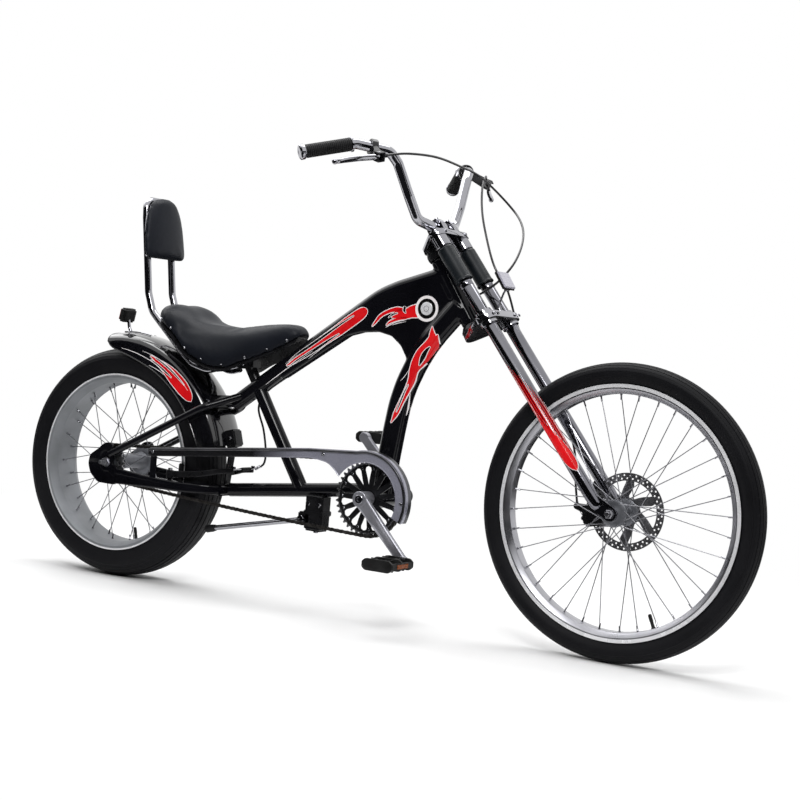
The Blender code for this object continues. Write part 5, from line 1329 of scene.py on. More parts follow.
FRONT_ROUTE = cable_start(1) + [Vector(p) for p in (
    (792, 194, 992), (801, 165, 968), (822, 130, 918), (850, 100, 866), (898, 62, 790))]
FRONT_ROUTE += [HEAD @ leg_matrix(1) @ Vector(p) for p in (
    (26, 26, 64), (8, 31, 8), (3, 29, -14), (0, 19.5, -72), (-4, 18, -200), (-21.6, 18, -300),
    (-63.6, 16, -376), (-83.6, 13.5, -416))]
REAR_ROUTE = cable_start(-1) + [Vector(p) for p in (
    (808, -182, 993), (826, -100, 997), (828, 5, 991), (832, 100, 978), (872, 168, 925),
    (918, 140, 884), (948, 90, 842), (954, 48, 796), (936, 24, 757), (908, 19, 733),
    (884, 26, 722), (862, 29, 722), (828, 27, 738), (790, 24, 735), (711, 23.5, 708),
    (650, 23.5, 676), (575, 23.5, 622), (502, 23.5, 568), (430, 23.5, 515), (366, 24, 468),
    (345, 28, 430), (354, 42, 380), (358, 52, 330), (352, 56, 300), (338, 43.5, 287))]
HOUSING = plain_finish("cable_housing", (0.006, 0.006, 0.007), (0.014, 0.014, 0.016), (0.25, 0.38),
                       coat=0.2, blotch=60, grain=1500, depth=0.00002)


def cable(name, route, stands_for, body=None):
    """A housing along its route. Its length is the sum of the route's short steps."""
    path = curve_through(route, step=7)
    length = sum((b - a).length for a, b in zip(path, path[1:])) / 1000
    obj = piece(name, pipe(path, 2.5, 10), HOUSING, body, [stands_for])
    metres = [tuple(BIKE @ point) for point in path]
    print(f"{name}: {length:.3f} m")
    return obj


cable("front_cable_housing", FRONT_ROUTE, "front_brake_cable", "steering")
rear_housing = cable("rear_cable_housing", REAR_ROUTE, "rear_brake_cable")
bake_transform(rear_housing)
for word, route, body in (("front", FRONT_ROUTE, "steering"), ("rear", REAR_ROUTE, "frame")):
    copies_at(f"cable_ferrule_{word}",
              turned([(0, -14), (3.6, -14), (3.6, -1), (2.6, 0), (0, 0)], 16, "Z"),
              [(route[-1], (route[-1] - route[-2]).normalized())], CHROME, body)

# %% [markdown]
# The front housing stops on a small plate of the caliper, and its bare wire goes on to the clamp screw
# in the pull arm. The wire's tail hangs a little past the screw, so that it still meets it when the arm
# swings.

# %% The wire at the caliper
wire_end = PULL_ARM_AT @ Vector((-32, 66, 8))
stop = FRONT_ROUTE[-1]
down = (wire_end - stop).normalized()
outboard = stop.lerp(wire_end, 0.3)
outboard.y = wire_end.y
piece("front_brake_wire", pipe([stop - down * 2, outboard, wire_end, wire_end + down * 9], 0.9, 8),
      CHROME, "steering")
clamp = turned([(0, 64), (3.9, 64), (3.9, 67.6), (3.3, 68.2), (0, 68.2)], 6, "Y")
piece("caliper_arm_wire_clamp", moved(clamp, (-32, 0, 8)), CHROME, "caliper_arm", matrix=PULL_ARM_AT)
stop_seat = CALIPER_AT.inverted() @ (stop - (stop - FRONT_ROUTE[-2]).normalized() * 5)
print("cable stop on the caliper at", [round(value, 1) for value in stop_seat])
tab = plate(hull([(stop_seat.x, stop_seat.z, 6.4), (88, -17, 4.5), (90, -2, 4.5)]), stop_seat.y - 5.8,
            stop_seat.y - 3.0, bevel=0.4)
piece("caliper_cable_stop", tab, BLACK_STEEL, "steering", matrix=CALIPER_AT)

# %% [markdown]
# ## Reflectors
# A reflector is a prism lens in a dark housing. The prisms come from a cell pattern in the lens finish,
# so the mesh can stay a rounded block.

# %% Front and rear reflectors
housing = block((110.6, 0, 61.4), (5, 52, 42), 1.6)
piece("front_reflector_housing", housing, BLACK_PLASTIC, "steering", matrix=HEAD)
lens = block((114.8, 0, 61.4), (4.6, 49, 39), 1.6)
piece("front_reflector_lens", lens, CLEAR_LENS, "steering", ["front_reflector"], HEAD)
wire = pipe(bent_path([(72, 0, 8.3), (72, 0, 22), (96, 0, 40), (103.5, 0, 44)], 8, 8), 2.2, 16)
foot = turned([(0, 6.3), (6.6, 6.3), (7, 6.8), (7, 9.4), (6.2, 10), (3, 10), (3, 12), (0, 12)], 24,
              "Z")
tab = block((106, 0, 47), (3.4, 20, 14), 0.8)
piece("front_reflector_wire", joined(wire, moved(foot, (72, 0, 0)), tab), CHROME, "steering",
      ["front_reflector_bracket"], HEAD)

foot_at = Vector((-20, 0, 575.3))
tilt = Matrix.Rotation(math.radians(12), 4, "Y")
stalk = pipe(bent_path([foot_at + Vector(p) for p in ((-10, 0, 30.7), (-5, 0, 10.7), (0, 0, 2.5))],
                       8, 8), 4, 20)
base = block(foot_at + Vector((0, 0, 1.6)), (26, 16, 3), 0.8, Matrix.Rotation(math.radians(-4), 4, "Y"))
piece("rear_reflector_stalk", joined(stalk, base), CHROME, "frame")
centre = foot_at + Vector((-13, 0, 40.7))
piece("rear_reflector_housing", block(centre, (18, 44, 33), 4, tilt, 3), BLACK_PLASTIC, "frame",
      ["rear_reflector"])
piece("rear_reflector_lens", block((0, 0, 0), (2.4, 37, 26), 1.1), RED_LENS, "frame",
      matrix=Matrix.Translation(centre) @ tilt @ Matrix.Translation((-9.2, 0, 0)))

# %% [markdown]
# ## Mudguard
# A rolled sheet with a crowned section and deep sides. Its section is the same all along, but the sides
# are cut away towards the tail, so a plain spin won't do. One function gives the point at an angle round
# the axle and a distance over the crown. The sheet is a grid on it, and its stripes use it again later.

# %% Rear mudguard
def line_value(points, x):
    for (x0, v0), (x1, v1) in zip(points, points[1:]):
        if x <= x1:
            return v0 + (v1 - v0) * (x - x0) / (x1 - x0)
    return points[-1][1]


def smooth_table(points):
    return [(p.x, p.y) for p in curve_through([(x, v, 0) for x, v in points], 6)]


CROWN_LINE = curve_through([(306, 0, 0), (305, 22, 0), (300, 44, 0), (291, 56, 0), (276, 59.5, 0),
                            (250, 60.5, 0), (240, 60.6, 0)], 6)
CROWN_STEPS = [0.0]
for spot, after in zip(CROWN_LINE, CROWN_LINE[1:]):
    CROWN_STEPS.append(CROWN_STEPS[-1] + (after - spot).length)
SKIRT = smooth_table([(13, 99), (25, 105), (45, 107), (62, 106), (75, 103), (85, 96), (92, 88),
                      (96, 79), (98, 66)])


def on_mudguard(degrees, over, lift=0.0):
    """The point at an angle round the rear axle and a distance over the crown, lifted off the sheet."""
    reach = min(abs(over), CROWN_STEPS[-1] - 0.01)
    i = next(k for k in range(1, len(CROWN_STEPS)) if CROWN_STEPS[k] > reach)
    a, b = CROWN_LINE[i - 1], CROWN_LINE[i]
    spot = a.lerp(b, (reach - CROWN_STEPS[i - 1]) / (CROWN_STEPS[i] - CROWN_STEPS[i - 1]))
    way = (b - a).normalized()
    radius = spot.x + way.y * lift
    across = spot.y - way.x * lift
    angle = math.radians(degrees)
    return REAR_AXLE + Vector((radius * math.cos(angle), math.copysign(across, over),
                               radius * math.sin(angle)))


def mudguard_sheet(thickness):
    """Outer and inner grids, joined round the rim."""
    bm = bmesh.new()
    rows = []
    for i in range(97):
        degrees = 13 + 85 * i / 96
        deep = line_value(SKIRT, degrees)
        overs = [deep * k / 22 for k in range(-22, 23)]
        outside = [bm.verts.new(on_mudguard(degrees, over)) for over in overs]
        inside = [bm.verts.new(on_mudguard(degrees, over, -thickness)) for over in overs]
        rows.append(outside + inside[::-1])
    skinned(bm, rows)
    for row in (rows[0], rows[-1]):
        half = len(row) // 2
        for k in range(half - 1):
            bm.faces.new((row[k], row[k + 1], row[-k - 2], row[-k - 1]))
    bmesh.ops.recalc_face_normals(bm, faces=bm.faces)
    return bm


piece("rear_mudguard_sheet", mudguard_sheet(1.6), MUDGUARD_PAINT, "frame", ["rear_mudguard"],
      sharp=50)
for word, side in SIDES:
    edge = pipe([on_mudguard(13 + 85 * i / 60, side * line_value(SKIRT, 13 + 85 * i / 60), -0.8)
                 for i in range(61)], 1.5, 10)
    piece(f"mudguard_{word}_rolled_edge", edge, MUDGUARD_PAINT, "frame")
tail_edge = pipe([on_mudguard(98, over, -0.8) for over in range(-66, 67, 6)], 1.5, 10)
piece("mudguard_tail_rolled_edge", tail_edge, MUDGUARD_PAINT, "frame")
lower_block = block(REAR_AXLE + Vector((303, 0, 85.3)), (28, 34, 40), 3.5,
                    Matrix.Rotation(math.radians(-16), 4, "Y"), 3)
strip = plate([(291, 249.3), (295, 249.3), (306, 345), (301, 345)], -11, 11, bevel=0.5)
piece("mudguard_lower_bracket", joined(lower_block, strip), BLACK_STEEL, "frame")
copies_at("mudguard_block_bolts", hex_head(10, 4.5),
          [((304, -17, 356), (0, -1, 0)), ((304, 17, 356), (0, 1, 0)),
           ((268, -63, 436), (0, -1, 0)), ((268, 63, 436), (0, 1, 0))], CHROME, "frame")


def facing_spot(degrees, over):
    spot = on_mudguard(degrees, over)
    return spot, (on_mudguard(degrees, over, 1.0) - spot).normalized()


washer = turned([(0, 0), (8, 0), (7.6, 1.2), (5, 1.6), (4.6, 2.8), (3.4, 3.6), (0, 3.8)], 24, "Z")
copies_at("mudguard_top_fasteners", washer,
          [facing_spot(degrees, over) for degrees in (86.5, 64.5) for over in (-46, 46)],
          BLACK_STEEL, "frame")
stay_wire = pipe([on_mudguard(94.4 - 14 * i / 10, -6 - 7 * i / 10, 2.2) for i in range(11)], 1.7, 12)
piece("rear_reflector_brace", stay_wire, CHROME, "frame")
print("bars and mudguard done,", len(MADE), "pieces so far")

# %% [markdown]
# ## Padding
# The seat and the backrest are foam under vinyl. A loft alone looks hard. Each starts a little smaller
# than it should be, is remeshed evenly and then blown up as cloth with no gravity, and no point may move
# further than the foam would. Points on the hard underside stay where they are.

# %% Cushions by cloth
SWELL_FRAMES = 16


def swollen(bm, voxel, cap, flat_way):
    """Remeshes the shape, blows it up and returns the mesh. flat_way points at the hard side."""
    start = wrapped(moved(bm, BIKE), voxel, 6)
    host = added("pad", start)
    base = [vert.co.copy() for vert in start.vertices]
    hard = [vert.normal.dot(flat_way) > 0.6 for vert in start.vertices]
    held = host.vertex_groups.new(name="held")
    held.add([i for i, is_hard in enumerate(hard) if is_hard], 1.0, "REPLACE")
    cloth = host.modifiers.new("swell", "CLOTH")
    cloth.settings.use_pressure = True
    cloth.settings.uniform_pressure_force = 4.0
    cloth.settings.effector_weights.gravity = 0
    cloth.settings.vertex_group_mass = "held"
    cloth.settings.quality = 4
    cloth.point_cache.frame_start = 1
    cloth.point_cache.frame_end = SWELL_FRAMES
    for number in range(1, SWELL_FRAMES + 1):
        bpy.context.scene.frame_set(number)
    mesh = baked(host)
    for vert, origin, is_hard in zip(mesh.vertices, base, hard):
        move = vert.co - origin
        limit = 0.0003 if is_hard else cap
        if move.length > limit:
            vert.co = origin + move.normalized() * limit
    bpy.context.scene.frame_set(1)
    eased = added("pad", mesh)
    relax = eased.modifiers.new("relax", "SMOOTH")
    relax.iterations = 4
    finer = eased.modifiers.new("finer", "SUBSURF")
    finer.levels = 1
    finer.render_levels = 1
    return baked(eased)


SEAT_TOP = smooth_table([(104, 632), (116, 649), (135, 655), (159, 650), (180, 639), (205, 621),
                         (243, 611), (308, 609), (377, 621), (440, 631), (464, 626), (476, 612)])
SEAT_HALF = smooth_table([(104, 46), (112, 66), (130, 88), (165, 102), (225, 102), (291, 82),
                          (352, 60), (410, 46), (460, 36), (476, 22)])
SEAT_EDGE = smooth_table([(104, 622), (112, 615), (130, 606), (176, 580), (220, 538), (291, 510),
                          (352, 532), (416, 561), (462, 587), (476, 600)])


def seat_ring(x, inset):
    """The cover's section at x, drawn in by the inset."""
    half = line_value(SEAT_HALF, x) - inset
    top = line_value(SEAT_TOP, x) - inset
    low = line_value(SEAT_EDGE, x) + inset * 0.3
    tall = top - low
    flank = [(x, half - 3, low), (x, half, low + 0.25 * tall), (x, half * 0.94, low + 0.62 * tall),
             (x, half * 0.72, low + 0.9 * tall), (x, half * 0.36, top)]
    ring = curve_through(mirrored(flank, -1) + [(x, 0, top - 1.5)] + flank[::-1], 3)
    return ring + [Vector((x, half * 0.5, low + 0.3 * tall)), Vector((x, -half * 0.5, low + 0.3 * tall))]


rings = [seat_ring(x, 4.0) for x in [106, 109] + list(range(114, 470, 7)) + [471, 474]]
saddle_mesh = swollen(loft(rings), 0.0055, 0.0055, Vector((0, 0, -1)))
saddle = place_mesh("saddle_cover", saddle_mesh, VINYL, "frame", ["saddle_cushion"], 70)

PAD_AT = Matrix.Translation((55.6, 0, 750)) @ Matrix.Rotation(-math.radians(7.7), 4, "Y")
rings = []
rows = smooth_table([(-2, 66), (10, 75), (60, 73), (105, 64), (132, 47), (145, 28)])
for height, half in [(h, v - 3) for h, v in rows if h >= 0][::2] + [(143, 26)]:
    soft = min(1, (height + 3) / 12, (148 - height) / 14)
    edge = 8 + 7 * soft
    crown = 15 + 14 * soft
    flank = [(3.8, half - 3, height), (edge * 0.5, half, height), (edge, half - 1.5, height),
             (crown * 0.88, half * 0.62, height)]
    ring = flank + [(crown, 0, height)] + mirrored(flank, -1)[::-1]
    rings.append([PAD_AT @ Vector(point) for point in ring[-1:] + ring[:-1]])
back_way = (PAD_AT.to_3x3() @ Vector((-1, 0, 0))).normalized()
pad_mesh = swollen(loft(rings), 0.005, 0.005, back_way)
pad = place_mesh("backrest_cover", pad_mesh, VINYL, "frame", ["backrest_pad"], 70)

# %% [markdown]
# Hard pieces under and round the padding: the pan, the tall bar with its plate, and dome rivets that pin
# the cover's edge. The rivets sit on the swollen cover, so a ray finds the cloth's surface for each.

# %% Pan, backrest bar and rivets
def pan_rings(above, below):
    out = []
    for x in range(127, 470, 10):
        half = line_value(SEAT_HALF, x)
        low = line_value(SEAT_EDGE, x)
        rise = 0.3 * (line_value(SEAT_TOP, x) - low)
        out.append([(x, half - 3, low - above), (x, half * 0.5, low + rise - above),
                    (x, -half * 0.5, low + rise - above), (x, -half + 3, low - above),
                    (x, -half + 3, low - below), (x, -half * 0.5, low + rise - below),
                    (x, half * 0.5, low + rise - below), (x, half - 3, low - below)])
    return out


ears = [block((261, side * 45, 524), (16, 5, 34), 1.5) for side in (-1, 1)]
piece("saddle_pan_sheet", joined(loft(pan_rings(1.2, 4.2)), *ears), BLACK_STEEL, "frame",
      ["saddle_pan"])
half = 45
bar_side = [(272, half, 514), (247, half, 507), (202, half, 518), (179, half, 536), (75, half, 630),
            (59, half, 673), (35.7, half, 846)]
bar_top = [(30, half - 4, 888), (30, 4 - half, 888)]
sissy = bent_path(mirrored(bar_side, -1) + mirrored(bar_top, -1) + mirrored(bar_side, 1)[::-1], 42, 12)
pad_plate = [(-58, 4), (58, 4), (65, 14), (63, 60), (55, 100), (40, 122), (20, 134), (-20, 134),
             (-40, 122), (-55, 100), (-63, 60), (-65, 14)]
back_plate = plate(rounded(pad_plate, 8, 3), 0, 3, bevel=0.6)
moved(back_plate, PAD_AT @ Matrix.Rotation(-math.pi / 2, 4, "Z"))
piece("backrest_bar", joined(pipe(sissy, 8.5, 28), back_plate), CHROME, "frame", ["sissy_bar"])
bolts = [(PAD_AT @ Vector((0, y, z)), back_way) for y in (-30, 30) for z in (24, 96)]
bolts += [((266, side * 54, 511), (0, side, 0)) for side in (-1, 1)]
copies_at("backrest_bolts", hex_head(11, 4.5), bolts, CHROME, "frame")

COVER_TREE = tree_of(saddle_mesh)


def on_cover(x, z, side):
    """The cover's surface beside the point, and the way it faces."""
    start = BIKE @ Vector((x, side * 220, z))
    hit = COVER_TREE.ray_cast(start, Vector((0, -side, 0)))
    if hit[0] is None:
        return None
    return BIKE.inverted() @ hit[0], hit[1]


spots = []
for word, side in SIDES:
    for x in (134, 170, 214, 256, 302, 352, 402, 448):
        found = on_cover(x, line_value(SEAT_EDGE, x) + 11, side)
        if found:
            spots.append(found)
dome = turned([(0, -0.6), (3.4, -0.6), (3.2, 0.6), (2.2, 1.7), (0, 2.1)], 14, "Z")
copies_at("saddle_rivets", dome, spots, CHROME, "frame")
print("seat done,", len(MADE), "pieces so far")

# %% [markdown]
# ## Drive
# The chain could be one solid band with a picture of links. Real links catch the light one by one, so a
# tree resamples the chain's loop into 142 equal pitches and sets outer and inner links in turn. The
# lower run sags a little, as a chain without a tensioner does.

# %% Chain links along the loop
PITCH = 12.7
CHAIN_Y = -61.0


def pitch_radius(teeth):
    return PITCH / (2 * math.sin(math.pi / teeth))


def chain_path(sag):
    line = CRANK - REAR_AXLE
    heading = math.atan2(line.z, line.x)
    large = pitch_radius(RING_TEETH)
    small = pitch_radius(COG_TEETH)
    wrap = math.asin((large - small) / line.length)
    path = []
    for centre, radius, first, last, steps in (
            (CRANK, large, -math.pi / 2 - wrap, math.pi / 2 + wrap, 60),
            (REAR_AXLE, small, math.pi / 2 + wrap, 3 * math.pi / 2 - wrap, 36)):
        for i in range(steps + 1):
            angle = heading + first + (last - first) * i / steps
            path.append(centre + Vector((math.cos(angle), 0, math.sin(angle))) * radius)
    low_end, low_start = path[-1], path[0]
    for t in (i / 24 for i in range(1, 24)):
        path.append(low_end.lerp(low_start, t) - Vector((0, 0, sag * 4 * t * (1 - t))))
    return [point + Vector((0, CHAIN_Y, 0)) for point in path]


def link_tree():
    tree, bench, given = new_tree("links_along_a_loop", (("Item", "Object"), ("Count", "Int"),
                                                        ("Skip", "Int"), ("Material", "Material")))
    loop = bench.node("GeometryNodeMeshToCurve", Mesh=given("Geometry"))
    even = bench.node("GeometryNodeResampleCurve", Curve=bench.out(loop), Count=given("Count"))
    points = bench.node("GeometryNodeCurveToPoints", {"mode": "EVALUATED"}, Curve=bench.out(even))
    turn = bench.node("FunctionNodeAlignRotationToVector", {"axis": "X", "pivot_axis": "Y"},
                      Vector=bench.out(points, "Tangent"))
    index = bench.out(bench.node("GeometryNodeInputIndex"))
    links = scatter(bench, bench.out(points), given("Item"), Rotation=bench.out(turn),
                    Selection=(index + given("Skip")) % 2.0)
    finish_tree(bench, links, given("Material"))
    return tree


def link(reach, outer):
    """Two waisted side plates with pin ends, or with rollers between them."""
    half = PITCH / 2
    outline = [(-half - 3.9, 0), (-half - 2.8, 2.8), (-half, 3.9), (0, 3.0), (half, 3.9),
               (half + 2.8, 2.8), (half + 3.9, 0), (half + 2.8, -2.8), (half, -3.9), (0, -3.0),
               (-half, -3.9), (-half - 2.8, -2.8)]
    shapes = [plate(outline, side * reach - 0.45, side * reach + 0.45) for side in (-1, 1)]
    radius, end = (1.7, reach + 0.9) if outer else (3.5, reach)
    for x in (-half, half):
        barrel = turned([(0, -end), (radius, -end), (radius, end), (0, end)], 8, "Y")
        shapes.append(moved(barrel, (x, 0, 0)))
    return joined(*shapes)


LINK_TREE = link_tree()
loop_points = chain_path(4.5)
for word, reach, skip in (("outer", 3.5, 0), ("inner", 2.3, 1)):
    host = bpy.data.meshes.new("loop")
    count = len(loop_points)
    host.from_pydata(loop_points, [(i, (i + 1) % count) for i in range(count)], [])
    tree_piece(f"chain_{word}_links", LINK_TREE, link(reach, word == "outer"),
               {"Count": LINKS, "Skip": skip}, DARK_CHAIN, "frame", host=host,
               stands_for=["chain"] if word == "outer" else ())

# %% [markdown]
# Sprockets are laser-cut, so they are stamped outlines with pointed teeth. The chainring is a black
# spider with petal windows inside a bright toothed ring, bolted together.

# %% Sprockets
TOOTH = ((-1, -4.2), (-0.62, -3.4), (-0.3, 1.1), (-0.16, 2.2), (0.16, 2.2), (0.3, 1.1), (0.62, -3.4))
PETAL = ((26.5, 0), (40, -3.3), (52, -5.6), (62, -7.2), (67.5, -5.6), (70, 0), (67.5, 5.6), (62, 7.2),
         (52, 5.6), (40, 3.3))


def sprocket_outline(teeth):
    """Each tooth is written as shares of half its angle with heights over the pitch circle."""
    pitch = pitch_radius(teeth)
    return [polar(pitch + height, 360 * i / teeth + share * 180 / teeth)
            for i in range(teeth) for share, height in TOOTH]


def petals():
    return [[polar(radius, 24 * i + turn) for radius, turn in PETAL] for i in range(15)]


CRANK_AT = Matrix.Translation(CRANK)
TOOTH_STEEL = plain_finish("worn_tooth_steel", (0.26, 0.26, 0.27), (0.48, 0.48, 0.50), (0.22, 0.36),
                           0.95, blotch=80, grain=900, depth=0.00001)
spider = plate(circle(0, 0, 73.6, 96), -62.5, -59.5, petals() + [circle(0, 0, 8.8, 32)], bevel=0.35)
piece("chainring_spider", spider, BLACK_STEEL, "crank", ["chainring"], CRANK_AT)
teeth = plate(sprocket_outline(RING_TEETH), -62.2, -59.8, [circle(0, 0, 73.7, 96)], bevel=0.3)
piece("chainring_teeth", teeth, TOOTH_STEEL, "crank", matrix=CRANK_AT)
ring_bolt = turned([(0, 0), (2.7, 0), (2.7, 1.0), (2.1, 1.5), (0, 1.5)], 10, "Z")
moved(ring_bolt, Matrix.Rotation(math.pi / 2, 4, "X"))
ring_of("chainring_bolts", ring_bolt, 15, 66, -62.5, CHROME, "crank", CRANK_AT, 78 / 360)
cog = plate(sprocket_outline(COG_TEETH), -62.5, -59.5, [circle(0, 0, 17.3, 32)]
            + [circle(*polar(26, 60 * i), 4.4, 16) for i in range(6)], bevel=0.3)
piece("rear_cog_plate", cog, TOOTH_STEEL, "rear_cog", ["rear_cog"],
      WHEEL_AT["rear"])

# %% [markdown]
# Crank arms are forged: thick at the boss, thinner at the eye, with a long hollow down the face. A loft
# of rounded sections from boss to eye gives the taper, and spun bosses close both ends.

# %% Crank arms and axle
def crank_angle(side):
    return -45.8 if side < 0 else 134.2


def arm_forging(side):
    """The arm points along x from the crank's axis and lies across y."""
    rings = []
    for t in (i / 28 for i in range(29)):
        x = -4 + 173 * t
        tall = 15.5 - 5.0 * t - 1.2 * math.sin(math.pi * t)
        near = 88.3
        far = 101.6 - 1.2 * t
        hollow = 1.1 * math.sin(math.pi * min(1, max(0, (t - 0.12) / 0.72)))
        half = [(near, 0.86), (near + 1.6, 1), (far - 2.2, 1), (far - 0.4, 0.82), (far, 0.62),
                (far - hollow, 0.46)]
        section = [(y, -z) for y, z in half] + [(far - hollow * 1.3, 0)] + half[::-1]
        rings.append([(x, side * y, z * tall) for y, z in section])
    boss_near = 62.8 if side < 0 else 58
    boss = turned([(8.8, side * boss_near), (15, side * boss_near), (16, side * (boss_near + 1.2)),
                   (16, side * 88), (17, side * 89), (17, side * 101), (15.8, side * 102),
                   (8.8, side * 102)], 48, "Y", closed=True)
    eye = turned([(0, side * 88), (11.2, side * 88), (12, side * 88.8), (12, side * 101.2),
                  (11, side * 102), (0, side * 102)], 40, "Y")
    spindle = turned([(0, side * 100), (8, side * 100), (8, side * 110), (6, side * 111),
                      (6, side * 197), (0, side * 197)], 24, "Y")
    flats = turned([(7.9, side * 103), (9.2, side * 103.4), (9.2, side * 108), (7.9, side * 108.4)],
                   8, "Y", closed=True)
    return joined(loft(rings), boss, moved(joined(eye, spindle, flats), (CRANK_LENGTH, 0, 0)))


ARM_ALLOY = plain_finish("polished_arm_alloy", (0.26, 0.26, 0.29), (0.40, 0.40, 0.44), (0.30, 0.42),
                         0.6, blotch=14, grain=600, depth=0.000008)
for word, side in SIDES:
    turn = CRANK_AT @ Matrix.Rotation(-math.radians(crank_angle(side)), 4, "Y")
    piece(f"crank_arm_{word}_forging", arm_forging(side), ARM_ALLOY, "crank",
          [f"crank_arm_{word}"], turn)
    cap = turned([(0, side * 98.8), (8.2, side * 98.8), (9.6, side * 102.2), (9.6, side * 103.4),
                  (8.8, side * 104), (4.4, side * 104), (4, side * 103), (0, side * 103)], 32, "Y")
    piece(f"crank_cap_{word}", cap, CHROME if side < 0 else BLACK_PLASTIC, "crank", matrix=CRANK_AT)
dust_cover = turned([(16.1, 57), (19, 57), (19, 66), (17.6, 68), (17.6, 99), (16.1, 99)], 40, "Y",
                    closed=True)
piece("crank_left_dust_cover", dust_cover, BLACK_PLASTIC, "crank", matrix=CRANK_AT)
axle = turned([(0, -97), (8, -97), (8.5, -96), (8.5, 96), (8, 97), (0, 97)], 32, "Y")
piece("crank_axle_bar", axle, BLACK_STEEL, "crank", ["crank_axle"], CRANK_AT)
cups = [turned([(8.9, side * 50.3), (20, side * 50.3), (20, side * 53.6), (18, side * 54.6),
                (8.9, side * 54.6)], 40, "Y", closed=True) for side in (-1, 1)]
piece("crank_bearing_cups", joined(*cups), BLACK_STEEL, "frame", matrix=CRANK_AT)

# %% [markdown]
# The pedals are moulded blocks with windows, ribs and studs, and an amber reflector in each long edge.
# The windows could be cut out of one block. Plates, bars and a barrel laid into each other leave the same
# openings, with clean edges and few faces.

# %% Pedals
def pedal_body(side):
    inner, outer = 112.5, 203.5
    outline = rounded([(-36, -6), (-28, -12.5), (28, -12.5), (36, -6), (36, 6), (28, 12.5),
                       (-28, 12.5), (-36, 6)], 2.5, 2)
    ribs = [plate(outline, side * y, side * (y + wide), bevel=0.7)
            for y, wide in ((inner, 6), (155.5, 5), (outer - 6, 6))]
    bars = [block((x, side * 158, 0), (7, 86, 13), 1.2) for x in (-32.5, 32.5)]
    barrel = turned([(6.4, side * (inner + 1)), (10, side * (inner + 1)), (9, side * 150),
                     (9, side * (outer - 1)), (6.4, side * (outer - 1))], 28, "Y", closed=True)
    cap = turned([(0, side * 198), (8, side * 198), (8, side * 204), (0, side * 204)], 24, "Y")
    studs = [block((x, side * y, z), size, 0.5) for x in (-19, 19) for y in (135, 181)
             for z in (-11, 11) for size in ((16, 3, 2.6), (3, 34, 2.2))]
    return joined(*ribs, *bars, barrel, cap, *studs)


for word, side in SIDES:
    x, z = polar(CRANK_LENGTH, crank_angle(side))
    place = CRANK_AT @ Matrix.Translation((x, 0, z))
    piece(f"pedal_{word}_body", pedal_body(side), BLACK_PLASTIC, f"pedal_{word}", [f"pedal_{word}"],
          place)
    lenses = [block((x, side * 158, 0), (1.6, 44, 9.5), 0.5) for x in (-36.4, 36.4)]
    piece(f"pedal_{word}_reflectors", joined(*lenses), AMBER_LENS, f"pedal_{word}", matrix=place)

# %% [markdown]
# The guard is pressed sheet with a turned-over rim, cut as one outline. Its far end is screwed to a tab
# on the chain stay. The sheet, the wall behind its edge and the rolled edge all follow the same arcs and
# straight runs, so they stay together.

# %% Chain guard
cx, cz = CRANK.x, CRANK.z


def guard_arc(radius, sweep, steps):
    """Points round the crank, from 24 degrees under level and up over it."""
    spots = (polar(radius, -24 + sweep * i / steps) for i in range(steps + 1))
    return [(cx + x, cz + z) for x, z in spots]


inner_arc = guard_arc(79, 172, 48)
outer_arc = guard_arc(103, 128, 40)
guard_low = rounded([(632, 322), (614, 336), (572, 343), (133, 299)], 14, 4, closed=False)
guard_top = rounded([(127, 301), (127, 313), (131, 317), (563, 361)], 4, 3, closed=False)
guard_outline = outer_arc + guard_top[::-1] + guard_low[::-1] + inner_arc[::-1]
sheet = plate(guard_outline, -83.5, -82)
rim_line = outer_arc + guard_top[:3:-1]
inset = []
for x, z in rim_line:
    out = (Vector((x - cx, z - cz)).normalized() if x > 600 else Vector((-0.11, 0.994)))
    inset.append((x - out.x * 1.5, z - out.y * 1.5))
rim_wall = plate(rim_line + inset[::-1], -82.5, -71)
ring_wall = plate(outer_arc + guard_arc(101.5, 128, 40)[::-1], -71.5, -58)
roll = pipe([(x, -83.6, z) for x, z in guard_arc(99.6, 128, 40)]
            + [(x + 0.4, -83.6, z - 3.2) for x, z in guard_top[::-1][:-3]], 3.3, 16)
bead = pipe([(x, -83.0, z) for x, z in guard_outline], 1.25, 8)
boss = rod((139, -82.5, 309), (139, -80.3, 309), 6)
piece("chain_guard_pressing", joined(sheet, rim_wall, bead, boss), GUARD_SILVER_PAINTED_REFLECTION, "frame",
      ["chain_guard"])
# The rolled edge and the ring wall are dark: a painted dark reflection along the guard's bright rim.
piece("chain_guard_rolled_edge", joined(roll, ring_wall), DARK_ALLOY_FOR_PAINTED_REFLECTION, "frame")
copies_at("chain_guard_screws", cap_screw(3.8, 2.4),
          [((139, -83.5, 309), (0, -1, 0)), ((600, -83.5, 352), (0, -1, 0)),
           ((802, -83.5, 268), (0, -1, 0))], CHROME, "frame")

# %% [markdown]
# The stand is a bent chrome leg with a rubber foot on a bolted bracket. Its pivot slants, so the leg
# swings outwards as it comes down. The leg is drawn along the pivot's own axes and then put in place.

